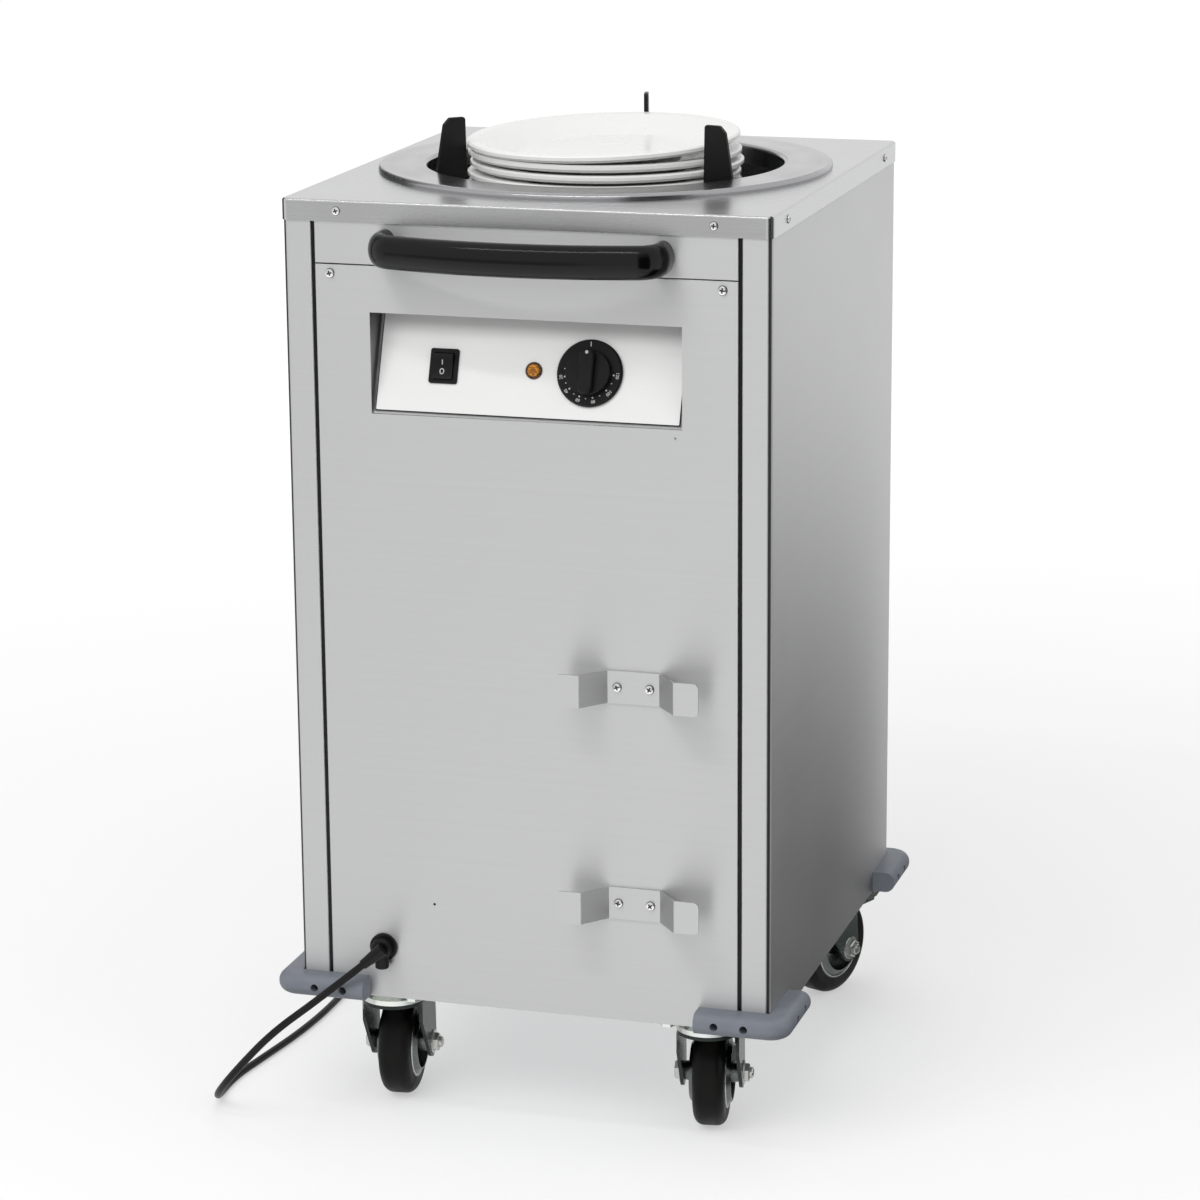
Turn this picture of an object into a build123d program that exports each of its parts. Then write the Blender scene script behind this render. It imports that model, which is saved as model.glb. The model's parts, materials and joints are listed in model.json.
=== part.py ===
"""Plate warmer cabinet: a heated, spring-loaded plate dispenser on four swivel casters.

Millimetres.  +Z is up, -Y is the front, +X is to the right of someone facing the front.
The floor is Z = 0 and the part is centred over the origin.
"""
import os
from math import atan2, cos, hypot, pi, radians, sin, tan

from build123d import *

os.makedirs("parts", exist_ok=True)

# ---------------------------------------------------------------- driving sizes
# Cabinet
worktop_width = 450.0
worktop_depth = 485.0
worktop_height = 867.0
body_base = 125.0
sheet = 1.2
panel_sheet = 1.0
fold_radius = 2.2
corner_radius = 5.5
flange_drop = 19.3
edge_break = 0.5

# Front and rear sheets
strip_width = 26.8
groove_width = 3.0
panel_recess = 10.0
lip_width = 23.0
front_seam_height = 810.0
seam_gap = 0.8
tray_edge_radius = 0.9
pan_sheet = 2.0
pan_wall = 14.0

# Well
well_offset = 12.0
ring_radius = 210.5
ring_hole_radius = 165.5
ring_sheet = 1.5
ring_rise = 5.5
ring_edge_radius = 3.0
collar_drop = 12.5
worktop_hole_radius = 172.0

# Plates
plate_radius = 127.0
plate_height = 24.0
plate_pitch = 9.5
plate_count = 6
plate_foot_radius = 72.0
plate_top_above_worktop = 28.0
plate_shift = 1.6
plate_wander = 2.1
plate_wall = 5.0
plate_foot_width = 4.0
plate_rim_width = 11.0
plate_rim_height = 7.0
plate_lip_low = 4.2
plate_lip_high = 1.4
top_plate_lean = 2.2
top_plate_heading = 55.0

# Plate guides
guide_count = 3
guide_angle = 91.2
guide_twist = 12.4
guide_thickness = 4.0
guide_pivot_radius = 150.2
guide_rise = 51.0
guide_bottom_drop = 34.0
guide_inner = 18.2
guide_inner_lower = 20.1
guide_outer_top = 3.6
guide_outer_lower = 13.6
guide_pin_radius = 4.0
guide_collar_radius = 8.0
guide_collar_height = 4.0
guide_pin_length = 14.0
guide_shoulder_drop = 6.0
guide_flare_drop = 12.0

# Self-levelling mechanism
frame_sheet = 3.0
top_ring_inner = 134.0
base_ring_inner = 168.0
frame_ring_outer = 196.0
base_ring_height = 235.0
upright_radius = 5.0
upright_circle_radius = 180.0
upright_angle = 30.0
hanger_radius = 5.0
hanger_circle_radius = 184.0
platform_radius = 112.0
platform_sheet = 2.0
platform_rim = 8.0
carriage_tube_radius = 30.0
carriage_tube_wall = 2.0
carriage_drop = 109.5
spider_thickness = 6.0
spider_arm_width = 26.0
spider_hub_radius = 40.0
bush_radius = 9.0
bush_height = 22.0
bush_flange_radius = 12.5
bush_flange = 3.0
spring_circle_radius = 152.0
spring_radius = 7.0
spring_wire = 2.0

# Heater
heater_circle_radius = 120.0
heater_tube_radius = 4.0
heater_height = 165.0
bracket_width = 14.0
bracket_sheet = 3.0
bracket_foot = 24.0

# Control recess
recess_width = 287.0
recess_base = 676.5
recess_height = 91.3
recess_shallow = 2.6
recess_deep = 36.0
recess_sheet = 1.0
recess_flange = 14.0
control_rim = 3.4
control_corner = 0.8
control_sheet = 1.5
control_line = 45.0
switch_x = -80.0
switch_width = 26.5
switch_height = 31.4
switch_bezel = 2.2
switch_body_depth = 20.0
switch_wall = 1.4
rocker_rise = 4.2
rocker_width = 18.0
rocker_height = 22.6
rocker_pin_radius = 1.5
rocker_tilt = 8.0
lamp_x = 3.5
lamp_radius = 7.7
lamp_flange = 1.6
lamp_lens_radius = 5.6
lamp_body_radius = 6.4
lamp_body_depth = 24.0
lens_round = 1.4
knob_x = 55.5
knob_skirt_radius = 30.0
knob_skirt = 3.5
knob_chamfer = 1.4
knob_boss_radius = 20.25
knob_boss = 6.5
knob_bar_width = 13.0
knob_bar_rise = 10.5
knob_gap = 0.6
knob_cavity_radius = 7.0
knob_cavity = 3.5
knob_socket = 8.0
thermostat_radius = 19.0
thermostat_depth = 18.0
thermostat_bush_radius = 5.0
thermostat_bush_length = 2.5
spindle_radius = 3.0
spindle_end_gap = 1.0

# Handle
handle_height = 828.0
handle_span = 254.0
handle_thick = 20.0
handle_tall = 30.0
handle_straight = 30.0
handle_vertex = 58.0
handle_end_radius = 21.0
handle_bow_share = 0.712

# Cord hooks
hook_inset = 95.7
hook_heights = (440.0, 237.5)
hook_sheet = 1.5
hook_tall = 30.0
hook_base = 48.6
hook_wing = 19.5
hook_reach = 24.0
hook_lip = 22.5
hook_corner = 5.0
hook_screw_spacing = 30.0

# Corner bumpers
bumper_reach = 22.0
bumper_height = 20.0
bumper_leg = 66.0
bumper_round = 9.5
bumper_corner = 21.0
bumper_holes = (19.0, 46.5)
bumper_hole_radius = 3.75
bumper_hole_depth = 17.0
bumper_hole_rise = 10.0
bumper_shank_radius = 2.0

# Casters
caster_inset_x = 70.8
caster_inset_y = 51.3
caster_trail = 35.0
wheel_radius = 50.0
tyre_width = 30.0
caster_headings = {"front_left": -6.5, "front_right": -9.0, "rear_left": -38.0, "rear_right": 22.0}
braked_casters = ("rear_left", "rear_right")
mount_plate_margin = 10.0
mount_plate_sheet = 3.0
mount_hole_spacing = 60.0
raceway_radius = 30.0
raceway_height = 14.7
raceway_sheet = 2.5
kingpin_radius = 6.0
kingpin_head_radius = 10.0
kingpin_head = 4.0
fork_width = 58.0
fork_sheet = 3.2
fork_crown_radius = 30.0
fork_tail = 77.0
fork_fold = 5.0
fork_cheek = 20.0
fork_cheek_back = 46.0
fork_ear = 17.0
axle_radius = 5.0
axle_head_radius = 8.5
axle_head = 5.5
hub_core_radius = 11.0
hub_rim_radius = 31.5
hub_cup_radius = 27.0
hub_cup_half = 19.5
hub_lip = 1.6
tyre_bore_radius = 34.0
tyre_shoulder = 9.0
brake_width = 34.0
brake_pivot = (68.0, 95.5)
brake_pin_radius = 2.5
brake_tip = 108.5
brake_clearance = 2.2
brake_shoe_start = 64.0
brake_shoe_end = 39.0
brake_thickness = 5.0
brake_pad_rise = 3.0
brake_back_rise = 7.0
brake_tip_rise = 9.0
brake_top_rise = 11.0
caster_bolt_radius = 4.0
caster_bolt_head = 5.3
caster_bolt_across = 7.5
caster_bolt_length = 14.0

# Screws
panel_screw_inset = 14.0
panel_screw_drop = 8.5
rear_screw_inset = 60.0
pilot_from_gland = 50.0
pilot_inset = 56.4
pilot_heights = (220.0, 669.0)
pilot_radius = 1.2
panel_screw_radius = 4.0
panel_screw_head = 2.4
panel_screw_shank = 2.0
flange_screw_inset = 52.5
flange_screw_radius = 3.6
screw_dome = 1.2

# Mains cord
cord_radius = 3.5
gland_inset = 51.0
gland_height = 174.5
gland_radius = 13.0
gland_flange = 3.0
gland_dome_radius = 10.0
gland_dome = 11.0
gland_nose_radius = 6.5
gland_tip_radius = 4.6
gland_nose_length = 24.0
gland_clamp_radius = 6.4
gland_clamp_drop = 18.6
cord_lane = 80.2
bend_share = 0.45
floor_gap = 0.1
coil_radius = 42.0
coil_round = 3.1
plug_level = 12.5
tail_reach = 70.0
tail_lift_start = 23.8
tail_lift_end = 46.2
tail_drift = 3.0
plug_nose = 22.0
plug_nose_radius = 6.0
plug_body = 32.0
plug_width = 27.0
plug_depth = 24.0
plug_corner = 7.0
blade_length = 16.0
blade_width = 6.4
blade_thickness = 1.6
blade_spacing = 12.7
ground_pin_radius = 2.4
ground_pin_drop = 5.0
blade_rise = 4.0

# Fits
running_fit = 0.05
screw_fit = 0.15
body_gap = 0.3

# ---------------------------------------------------------------- derived places
body_half_width = worktop_width / 2 - sheet
body_half_depth = worktop_depth / 2 - sheet
swivel_x = body_half_width - caster_inset_x
swivel_y = body_half_depth - caster_inset_y
mount_plate = mount_hole_spacing + 2 * mount_plate_margin
bow_half_turn = atan2(handle_vertex - handle_straight, handle_span / 2)
bow_run = hypot(handle_span / 2, handle_vertex - handle_straight)
handle_bow_radius = handle_bow_share * bow_run / tan(bow_half_turn)
bow_rise = handle_bow_radius * (1 / cos(bow_half_turn) - 1)
handle_reach = handle_vertex - bow_rise + handle_thick / 2
rear_heading = radians(caster_headings["rear_right"])
brake_reach = swivel_y + brake_tip * cos(rear_heading) + brake_width / 2 * sin(rear_heading)
rear_reach = max(brake_reach, body_half_depth + bumper_reach)
cabinet_y = (body_half_depth + handle_reach - rear_reach) / 2
front_y = cabinet_y - body_half_depth
rear_y = cabinet_y + body_half_depth
well_y = cabinet_y + well_offset
strip_edge = body_half_width - strip_width
panel_half_width = strip_edge - groove_width
panel_screw_x = panel_half_width - panel_screw_inset
flange_screw_x = worktop_width / 2 - flange_screw_inset
flange_screw_y = worktop_depth / 2 - flange_screw_inset
hook_x = panel_half_width - hook_inset
gland_x = gland_inset - panel_half_width
skin_top = worktop_height - fold_radius
worktop_under = worktop_height - sheet
lip_start = strip_edge - lip_width
plate_stack_top = worktop_height + plate_top_above_worktop
platform_top = plate_stack_top - plate_height - (plate_count - 1) * plate_pitch
guide_bottom = worktop_height - guide_bottom_drop
guide_seat = guide_bottom - guide_collar_height
guide_top = worktop_height + guide_rise
top_ring_base = guide_seat - frame_sheet
spider_base = platform_top - carriage_drop - spider_thickness
upright_base = base_ring_height + frame_sheet
pan_top = body_base + pan_sheet
cord_floor = cord_radius + floor_gap

front_plane = Plane(origin=(0, front_y, 0), x_dir=(1, 0, 0), z_dir=(0, -1, 0))
rear_plane = Plane(origin=(0, rear_y, 0), x_dir=(-1, 0, 0), z_dir=(0, 1, 0))
right_plane = Plane(origin=(body_half_width, 0, 0), x_dir=(0, 1, 0), z_dir=(1, 0, 0))
left_plane = Plane(origin=(-body_half_width, 0, 0), x_dir=(0, -1, 0), z_dir=(-1, 0, 0))


def on_face(face, across, height, out=0.0):
    """Plane on one of the four upright faces, looking outward."""
    spot = face.from_local_coords((across, height, out))
    return Plane(origin=spot, x_dir=face.x_dir, z_dir=face.z_dir)


def pan_screw(head_radius, head_height, shank_radius, shank_length):
    """Pan-head screw standing on Plane.XY, head up, shank down."""
    with BuildPart() as screw:
        with BuildSketch(Plane.XY):
            Circle(head_radius)
        extrude(amount=head_height)
        fillet(screw.faces().sort_by(Axis.Z)[-1].edges(), screw_dome)
        with BuildSketch(Plane.XY):
            Circle(shank_radius)
        extrude(amount=-shank_length)
    return screw.part


def placed(shape, places):
    """Copies of one finished shape, one at each plane."""
    return Compound(children=[shape.moved(Location(place)) for place in places])


def save(shape, name):
    shape.label = name
    export_step(shape, f"parts/{name}.step")


# ---------------------------------------------------------------- cord route
lane_x = -body_half_width - cord_lane
cord_route = [
    (gland_x - 13.0, front_y - 22.7, gland_height - 11.5),
    (gland_x - 53.0, front_y - 34.7, gland_height - 45.0),
    (gland_x - 95.0, front_y - 44.7, gland_height - 77.5),
    (gland_x - 129.0, front_y - 44.7, gland_height - 114.5),
    (gland_x - 157.0, front_y - 28.7, gland_height - 147.5),
    (lane_x - 14.0, front_y + 8.0, cord_floor),
    (lane_x - 18.0, front_y + 62.0, cord_floor),
    (lane_x - 10.0, front_y + 120.0, cord_floor),
    (lane_x, cabinet_y - 51.3, cord_floor),
    (lane_x + 4.0, cabinet_y + 26.7, cord_floor),
    (lane_x, cabinet_y + 108.7, cord_floor),
    (lane_x, rear_y - 46.6, cord_floor),
    (lane_x + 10.0, rear_y + 21.4, cord_floor),
    (lane_x + 42.0, rear_y + 69.4, cord_floor),
    (lane_x + 74.0, rear_y + 107.4, cord_floor),
    (lane_x + 92.0, rear_y + 153.4, cord_floor),
]
cord_end = Vector(*cord_route[-1])
end_heading = (cord_end - Vector(*cord_route[-2])).normalized()
coil_x = cord_end.X + coil_radius * end_heading.Y
coil_y = cord_end.Y - coil_radius * end_heading.X
tail_y = coil_y + coil_radius
tail_route = [
    (coil_x, tail_y, cord_floor),
    (coil_x + tail_lift_start, tail_y, cord_floor),
    (coil_x + tail_lift_end, tail_y - tail_drift, plug_level),
    (coil_x + tail_reach, tail_y - 2 * tail_drift, plug_level),
]


def bend_radii(route):
    """Largest neat bend at each inner point: the bend takes a set share of the shorter run beside it."""
    points = [Vector(*point) for point in route]
    radii = []
    for before, here, after in zip(points, points[1:], points[2:]):
        run_in = here - before
        run_out = after - here
        half_turn = radians(run_in.get_angle(run_out)) / 2
        radii.append(bend_share * min(run_in.length, run_out.length) / tan(half_turn))
    return radii


# ---------------------------------------------------------------- fastener places
seam_rail = front_seam_height + seam_gap / 2
seam_panel = front_seam_height - seam_gap / 2
panel_screw_height = front_seam_height - panel_screw_drop
rear_screw_heights = (body_base + rear_screw_inset, (body_base + skin_top) / 2, skin_top - rear_screw_inset)
front_panel_screws = [on_face(front_plane, side * panel_screw_x, panel_screw_height) for side in (-1, 1)]
rear_panel_screws = [
    on_face(rear_plane, side * panel_screw_x, height) for side in (-1, 1) for height in rear_screw_heights
]
flange_screw_height = worktop_height - flange_drop / 2
front_flange_screws = [on_face(front_plane, side * flange_screw_x, flange_screw_height) for side in (-1, 1)]
rear_flange_screws = [on_face(rear_plane, side * flange_screw_x, flange_screw_height) for side in (-1, 1)]
side_flange_screws = [
    on_face(face, along * face.x_dir.Y * flange_screw_y + cabinet_y * face.x_dir.Y, flange_screw_height)
    for face in (left_plane, right_plane)
    for along in (-1, 1)
]
flange_screws_at = front_flange_screws + rear_flange_screws + side_flange_screws

# ---------------------------------------------------------------- worktop
with BuildPart() as worktop:
    with BuildSketch(Plane((0, cabinet_y, worktop_height))):
        RectangleRounded(worktop_width, worktop_depth, corner_radius + sheet)
    extrude(amount=-flange_drop)
    fillet(worktop.faces().sort_by(Axis.Z)[-1].edges(), fold_radius)
    offset(amount=-sheet, openings=worktop.faces().sort_by(Axis.Z)[0])
    with BuildSketch(Plane((0, well_y, worktop_height))):
        Circle(worktop_hole_radius)
    extrude(amount=-flange_drop, mode=Mode.SUBTRACT)
    with Locations(*[place.offset(sheet) for place in flange_screws_at]):
        Hole(panel_screw_shank + screw_fit, depth=2 * sheet)
save(worktop.part, "worktop")

# ---------------------------------------------------------------- well ring
collar_line = ring_hole_radius + ring_sheet / 2
ring_line = worktop_height + ring_rise - ring_sheet / 2
ring_edge_line = ring_radius - ring_sheet / 2
with BuildPart() as well_ring:
    with BuildSketch(Plane((0, well_y, 0), x_dir=(1, 0, 0), z_dir=(0, -1, 0))):
        with BuildLine():
            FilletPolyline(
                (collar_line, worktop_height - collar_drop),
                (collar_line, ring_line),
                (ring_edge_line, ring_line),
                (ring_edge_line, worktop_height),
                radius=ring_edge_radius,
            )
        trace(line_width=ring_sheet)
    revolve(axis=Axis((0, well_y, 0), (0, 0, 1)))
save(well_ring.part, "well_ring")


# ---------------------------------------------------------------- side panels
def side_panel(side):
    """Folded side sheet: wraps both corners, steps back and runs behind the panel edges."""
    skin = side * (body_half_width - sheet / 2)
    step = side * (strip_edge + sheet / 2)
    lip = side * lip_start
    front = front_y + sheet / 2
    rear = rear_y - sheet / 2
    corner = corner_radius - sheet / 2
    with BuildPart() as panel:
        with BuildSketch(Plane((0, 0, body_base))):
            with BuildLine():
                FilletPolyline(
                    (lip, front + panel_recess),
                    (step, front + panel_recess),
                    (step, front),
                    (skin, front),
                    (skin, rear),
                    (step, rear),
                    (step, rear - panel_recess),
                    (lip, rear - panel_recess),
                    radius=[sheet, sheet, corner, corner, sheet, sheet],
                )
            trace(line_width=sheet)
        extrude(amount=skin_top - body_base)
        with Locations(*side_flange_screws):
            Hole(panel_screw_shank + screw_fit, depth=2 * sheet)
        with Locations(*[place.offset(-panel_recess) for place in front_panel_screws + rear_panel_screws]):
            Hole(panel_screw_shank + screw_fit, depth=2 * sheet)
    return panel.part


save(side_panel(-1), "left_side_panel")
save(side_panel(1), "right_side_panel")


# ---------------------------------------------------------------- front and rear trays
def tray(face, low, high):
    """Shallow folded tray with its open side inward."""
    middle = (low + high) / 2
    with BuildPart() as sheet_tray:
        with BuildSketch(on_face(face, 0, middle)):
            Rectangle(2 * panel_half_width, high - low)
        extrude(amount=-panel_recess)
        skin = sheet_tray.faces().sort_by(Axis(face.origin, face.z_dir))[-1]
        back = sheet_tray.faces().sort_by(Axis(face.origin, face.z_dir))[0]
        fillet(skin.edges(), tray_edge_radius)
        offset(amount=-panel_sheet, openings=back)
    return sheet_tray.part


hook_screws_at = [
    on_face(front_plane, hook_x + side * hook_screw_spacing / 2, height)
    for height in hook_heights
    for side in (-1, 1)
]
gland_place = on_face(front_plane, gland_x, gland_height)
pilot_holes_at = [
    on_face(front_plane, gland_x + pilot_from_gland, pilot_heights[0]),
    on_face(front_plane, panel_half_width - pilot_inset, pilot_heights[1]),
]
recess_middle = recess_base + recess_height / 2

front_tray = tray(front_plane, body_base, seam_panel)
rail_tray = tray(front_plane, seam_rail, skin_top)
rear_tray = tray(rear_plane, body_base, skin_top)

with BuildPart() as front_panel:
    add(front_tray)
    with BuildSketch(on_face(front_plane, 0, recess_middle)):
        Rectangle(recess_width, recess_height)
    extrude(amount=-2 * panel_sheet, mode=Mode.SUBTRACT)
    with Locations(*(front_panel_screws + hook_screws_at)):
        Hole(panel_screw_shank + screw_fit, depth=2 * panel_sheet)
    with Locations(gland_place):
        Hole(gland_dome_radius - gland_flange, depth=2 * panel_sheet)
    with Locations(*pilot_holes_at):
        Hole(pilot_radius, depth=2 * panel_sheet)
save(front_panel.part, "front_panel")

with BuildPart() as front_rail:
    add(rail_tray)
    with Locations(*front_flange_screws):
        Hole(panel_screw_shank + screw_fit, depth=2 * panel_sheet)
save(front_rail.part, "front_rail")

with BuildPart() as rear_panel:
    add(rear_tray)
    with Locations(*(rear_panel_screws + rear_flange_screws)):
        Hole(panel_screw_shank + screw_fit, depth=2 * panel_sheet)
save(rear_panel.part, "rear_panel")

# ---------------------------------------------------------------- base pan
caster_centres = {
    "front_left": (-swivel_x, cabinet_y - swivel_y),
    "front_right": (swivel_x, cabinet_y - swivel_y),
    "rear_left": (-swivel_x, cabinet_y + swivel_y),
    "rear_right": (swivel_x, cabinet_y + swivel_y),
}
mount_hole = mount_hole_spacing / 2
caster_bolts_at = [
    Plane((x + across * mount_hole, y + along * mount_hole, body_base))
    for x, y in caster_centres.values()
    for across in (-1, 1)
    for along in (-1, 1)
]
pan_half_depth = body_half_depth - panel_recess - sheet
pan_half_width = body_half_width - sheet
with BuildPart() as base_pan:
    with BuildSketch(Plane((0, cabinet_y, body_base))):
        Rectangle(2 * pan_half_width, 2 * pan_half_depth)
    extrude(amount=pan_wall)
    fillet(base_pan.edges().filter_by(Axis.Z), fold_radius)
    offset(amount=-pan_sheet, openings=base_pan.faces().sort_by(Axis.Z)[-1])
    with Locations(*[place.offset(pan_sheet) for place in caster_bolts_at]):
        Hole(caster_bolt_radius + screw_fit, depth=2 * pan_sheet)
save(base_pan.part, "base_pan")

# ---------------------------------------------------------------- bumpers
def bumper(side_x, side_y):
    """Moulded corner bumper: flat inside, rounded outside, with two sunk screw holes a leg."""
    corner_x = side_x * body_half_width
    corner_y = cabinet_y + side_y * body_half_depth
    reach_x = side_x * bumper_reach
    reach_y = side_y * bumper_reach
    leg_x = side_x * bumper_leg
    leg_y = side_y * bumper_leg
    screw_level = body_base + bumper_hole_rise
    facing_x = right_plane if side_x > 0 else left_plane
    facing_y = rear_plane if side_y > 0 else front_plane
    spots = [
        on_face(facing_y, facing_y.x_dir.X * side_x * (body_half_width - hole), screw_level, bumper_reach)
        for hole in bumper_holes
    ] + [
        on_face(
            facing_x,
            facing_x.x_dir.Y * (cabinet_y + side_y * (body_half_depth - hole)),
            screw_level,
            bumper_reach,
        )
        for hole in bumper_holes
    ]
    with BuildPart() as block:
        with BuildSketch(Plane((0, 0, body_base))) as outline:
            with BuildLine():
                Polyline(
                    (corner_x, corner_y),
                    (corner_x - leg_x, corner_y),
                    (corner_x - leg_x, corner_y + reach_y),
                    (corner_x + reach_x, corner_y + reach_y),
                    (corner_x + reach_x, corner_y - leg_y),
                    (corner_x, corner_y - leg_y),
                    close=True,
                )
            make_face()
            tip = outline.vertices().sort_by_distance((corner_x + reach_x, corner_y + reach_y))[0]
            fillet(tip, bumper_corner)
        extrude(amount=bumper_height)
        outer = [
            edge
            for edge in block.edges()
            if abs((edge @ 0).Z - (edge @ 1).Z) < edge_break
            and max(side_x * ((edge @ 0.5).X - corner_x), side_y * ((edge @ 0.5).Y - corner_y)) > bumper_round
            and edge.length > bumper_reach + edge_break
        ]
        fillet(outer, bumper_round)
        with Locations(*spots):
            CounterBoreHole(
                bumper_shank_radius + screw_fit,
                bumper_hole_radius,
                bumper_hole_depth,
                depth=bumper_reach,
            )
    seats = [spot.offset(-bumper_hole_depth) for spot in spots]
    return block.part, seats


bumper_seats = []
for name, side_x, side_y in (
    ("front_left_bumper", -1, -1),
    ("front_right_bumper", 1, -1),
    ("rear_left_bumper", -1, 1),
    ("rear_right_bumper", 1, 1),
):
    block, seats = bumper(side_x, side_y)
    bumper_seats += seats
    save(block, name)

# ---------------------------------------------------------------- control recess
back_tilt = atan2(recess_deep - recess_shallow, recess_height)
back_length = hypot(recess_deep - recess_shallow, recess_height)
back_plane = Plane(
    origin=(0, front_y + recess_shallow, recess_base),
    x_dir=(1, 0, 0),
    z_dir=(0, -cos(back_tilt), sin(back_tilt)),
)


def on_back(across, up, out=0.0):
    """Plane on the sloping back of the recess, facing out of it."""
    spot = back_plane.from_local_coords((across, up, out))
    return Plane(origin=spot, x_dir=back_plane.x_dir, z_dir=back_plane.z_dir)


recess_top = recess_base + recess_height
box_half = recess_width / 2 + recess_sheet
wall_across = recess_sheet / cos(back_tilt)
wall_lean = recess_sheet * tan(back_tilt)
with BuildPart() as control_box:
    with BuildSketch(Plane(origin=(-box_half, 0, 0), x_dir=(0, 1, 0), z_dir=(1, 0, 0))):
        with BuildLine():
            Polyline(
                (front_y + panel_sheet, recess_base - recess_sheet),
                (front_y + recess_shallow + wall_across - wall_lean, recess_base - recess_sheet),
                (front_y + recess_deep + wall_across + wall_lean, recess_top + recess_sheet),
                (front_y + panel_sheet, recess_top + recess_sheet),
                close=True,
            )
        make_face()
    extrude(amount=2 * box_half)
    with BuildSketch(on_face(front_plane, 0, recess_middle, -panel_sheet)):
        Rectangle(recess_width + 2 * recess_flange, recess_height + 2 * recess_flange)
    extrude(amount=-recess_sheet)
    with BuildSketch(Plane(origin=(-recess_width / 2, 0, 0), x_dir=(0, 1, 0), z_dir=(1, 0, 0))):
        with BuildLine():
            Polyline(
                (front_y, recess_base),
                (front_y + recess_shallow, recess_base),
                (front_y + recess_deep, recess_top),
                (front_y, recess_top),
                close=True,
            )
        make_face()
    extrude(amount=recess_width, mode=Mode.SUBTRACT)
    with BuildSketch(on_back(switch_x, control_line)):
        Rectangle(switch_width - 2 * switch_bezel, switch_height - 2 * switch_bezel)
    extrude(amount=-3 * recess_sheet, mode=Mode.SUBTRACT)
    with Locations(on_back(lamp_x, control_line)):
        Hole(lamp_body_radius + running_fit, depth=3 * recess_sheet)
    with Locations(on_back(knob_x, control_line)):
        Hole(thermostat_bush_radius + running_fit, depth=3 * recess_sheet)
save(control_box.part, "control_box")

with BuildPart() as control_plate:
    with BuildSketch(on_back(0, back_length / 2)):
        RectangleRounded(recess_width - 2 * control_rim, back_length - 2 * control_rim, control_corner)
    extrude(amount=control_sheet)
    with BuildSketch(on_back(switch_x, control_line)):
        Rectangle(switch_width - 2 * switch_bezel, switch_height - 2 * switch_bezel)
    extrude(amount=control_sheet, mode=Mode.SUBTRACT)
    with Locations(on_back(lamp_x, control_line, control_sheet)):
        Hole(lamp_body_radius + running_fit, depth=control_sheet)
    with Locations(on_back(knob_x, control_line, control_sheet)):
        Hole(thermostat_bush_radius + running_fit, depth=control_sheet)
save(control_plate.part, "control_plate")

# ---------------------------------------------------------------- power switch
switch_place = on_back(switch_x, control_line, control_sheet)
neck_width = switch_width - 2 * switch_bezel - 2 * running_fit
neck_height = switch_height - 2 * switch_bezel - 2 * running_fit
rocker_axis_plane = Plane(origin=switch_place.origin, x_dir=switch_place.y_dir, z_dir=switch_place.x_dir)
with BuildPart() as switch_housing:
    with BuildSketch(switch_place):
        RectangleRounded(switch_width, switch_height, switch_bezel)
    extrude(amount=switch_bezel)
    bezel_front = switch_housing.faces().sort_by(Axis(switch_place.origin, switch_place.z_dir))[-1]
    chamfer(bezel_front.edges(), edge_break)
    with BuildSketch(switch_place):
        Rectangle(neck_width, neck_height)
    extrude(amount=-switch_body_depth)
    with BuildSketch(switch_place.offset(switch_bezel)):
        Rectangle(rocker_width + 2 * body_gap, rocker_height + 4 * body_gap)
    extrude(amount=switch_wall - switch_body_depth - switch_bezel, mode=Mode.SUBTRACT)
    with BuildSketch(rocker_axis_plane.offset(-neck_width / 2 + edge_break)):
        Circle(rocker_pin_radius)
    extrude(amount=neck_width - 2 * edge_break)
save(switch_housing.part, "switch_housing")

rocker_lean = radians(rocker_tilt)
rocker_plane = Plane(
    origin=switch_place.origin,
    x_dir=switch_place.y_dir * cos(rocker_lean) + switch_place.z_dir * sin(rocker_lean),
    z_dir=switch_place.x_dir,
)
rocker_end = rocker_height / 2
rocker_top = switch_bezel + rocker_rise
rocker_low = -3 * rocker_pin_radius
with BuildPart() as rocker:
    with BuildSketch(rocker_plane.offset(-rocker_width / 2)):
        with BuildLine():
            Spline((-rocker_end, rocker_top), (0, rocker_top - rocker_rise / 2), (rocker_end, rocker_top))
            Polyline(
                (rocker_end, rocker_top),
                (rocker_end, switch_bezel - edge_break),
                (0, rocker_low),
                (-rocker_end, switch_bezel - edge_break),
                (-rocker_end, rocker_top),
            )
        make_face()
    extrude(amount=rocker_width)
    with BuildSketch(rocker_plane.offset(-rocker_width / 2)):
        Circle(rocker_pin_radius + running_fit)
    extrude(amount=rocker_width, mode=Mode.SUBTRACT)
save(rocker.part, "rocker_switch")

# ---------------------------------------------------------------- pilot lamp
lamp_place = on_back(lamp_x, control_line, control_sheet)
with BuildPart() as lamp_bezel:
    with BuildSketch(lamp_place):
        Circle(lamp_radius)
    extrude(amount=lamp_flange)
    chamfer(lamp_bezel.faces().sort_by(Axis(lamp_place.origin, lamp_place.z_dir))[-1].edges(), edge_break)
    with BuildSketch(lamp_place):
        Circle(lamp_body_radius)
    extrude(amount=-lamp_body_depth)
    with Locations(lamp_place.offset(lamp_flange)):
        Hole(lamp_lens_radius + running_fit, depth=2 * lamp_flange)
save(lamp_bezel.part, "lamp_bezel")

with BuildPart() as lamp_lens:
    with BuildSketch(lamp_place.offset(-lamp_flange)):
        Circle(lamp_lens_radius)
    extrude(amount=3 * lamp_flange)
    fillet(lamp_lens.faces().sort_by(Axis(lamp_place.origin, lamp_place.z_dir))[-1].edges(), lens_round)
save(lamp_lens.part, "lamp_lens")

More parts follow.
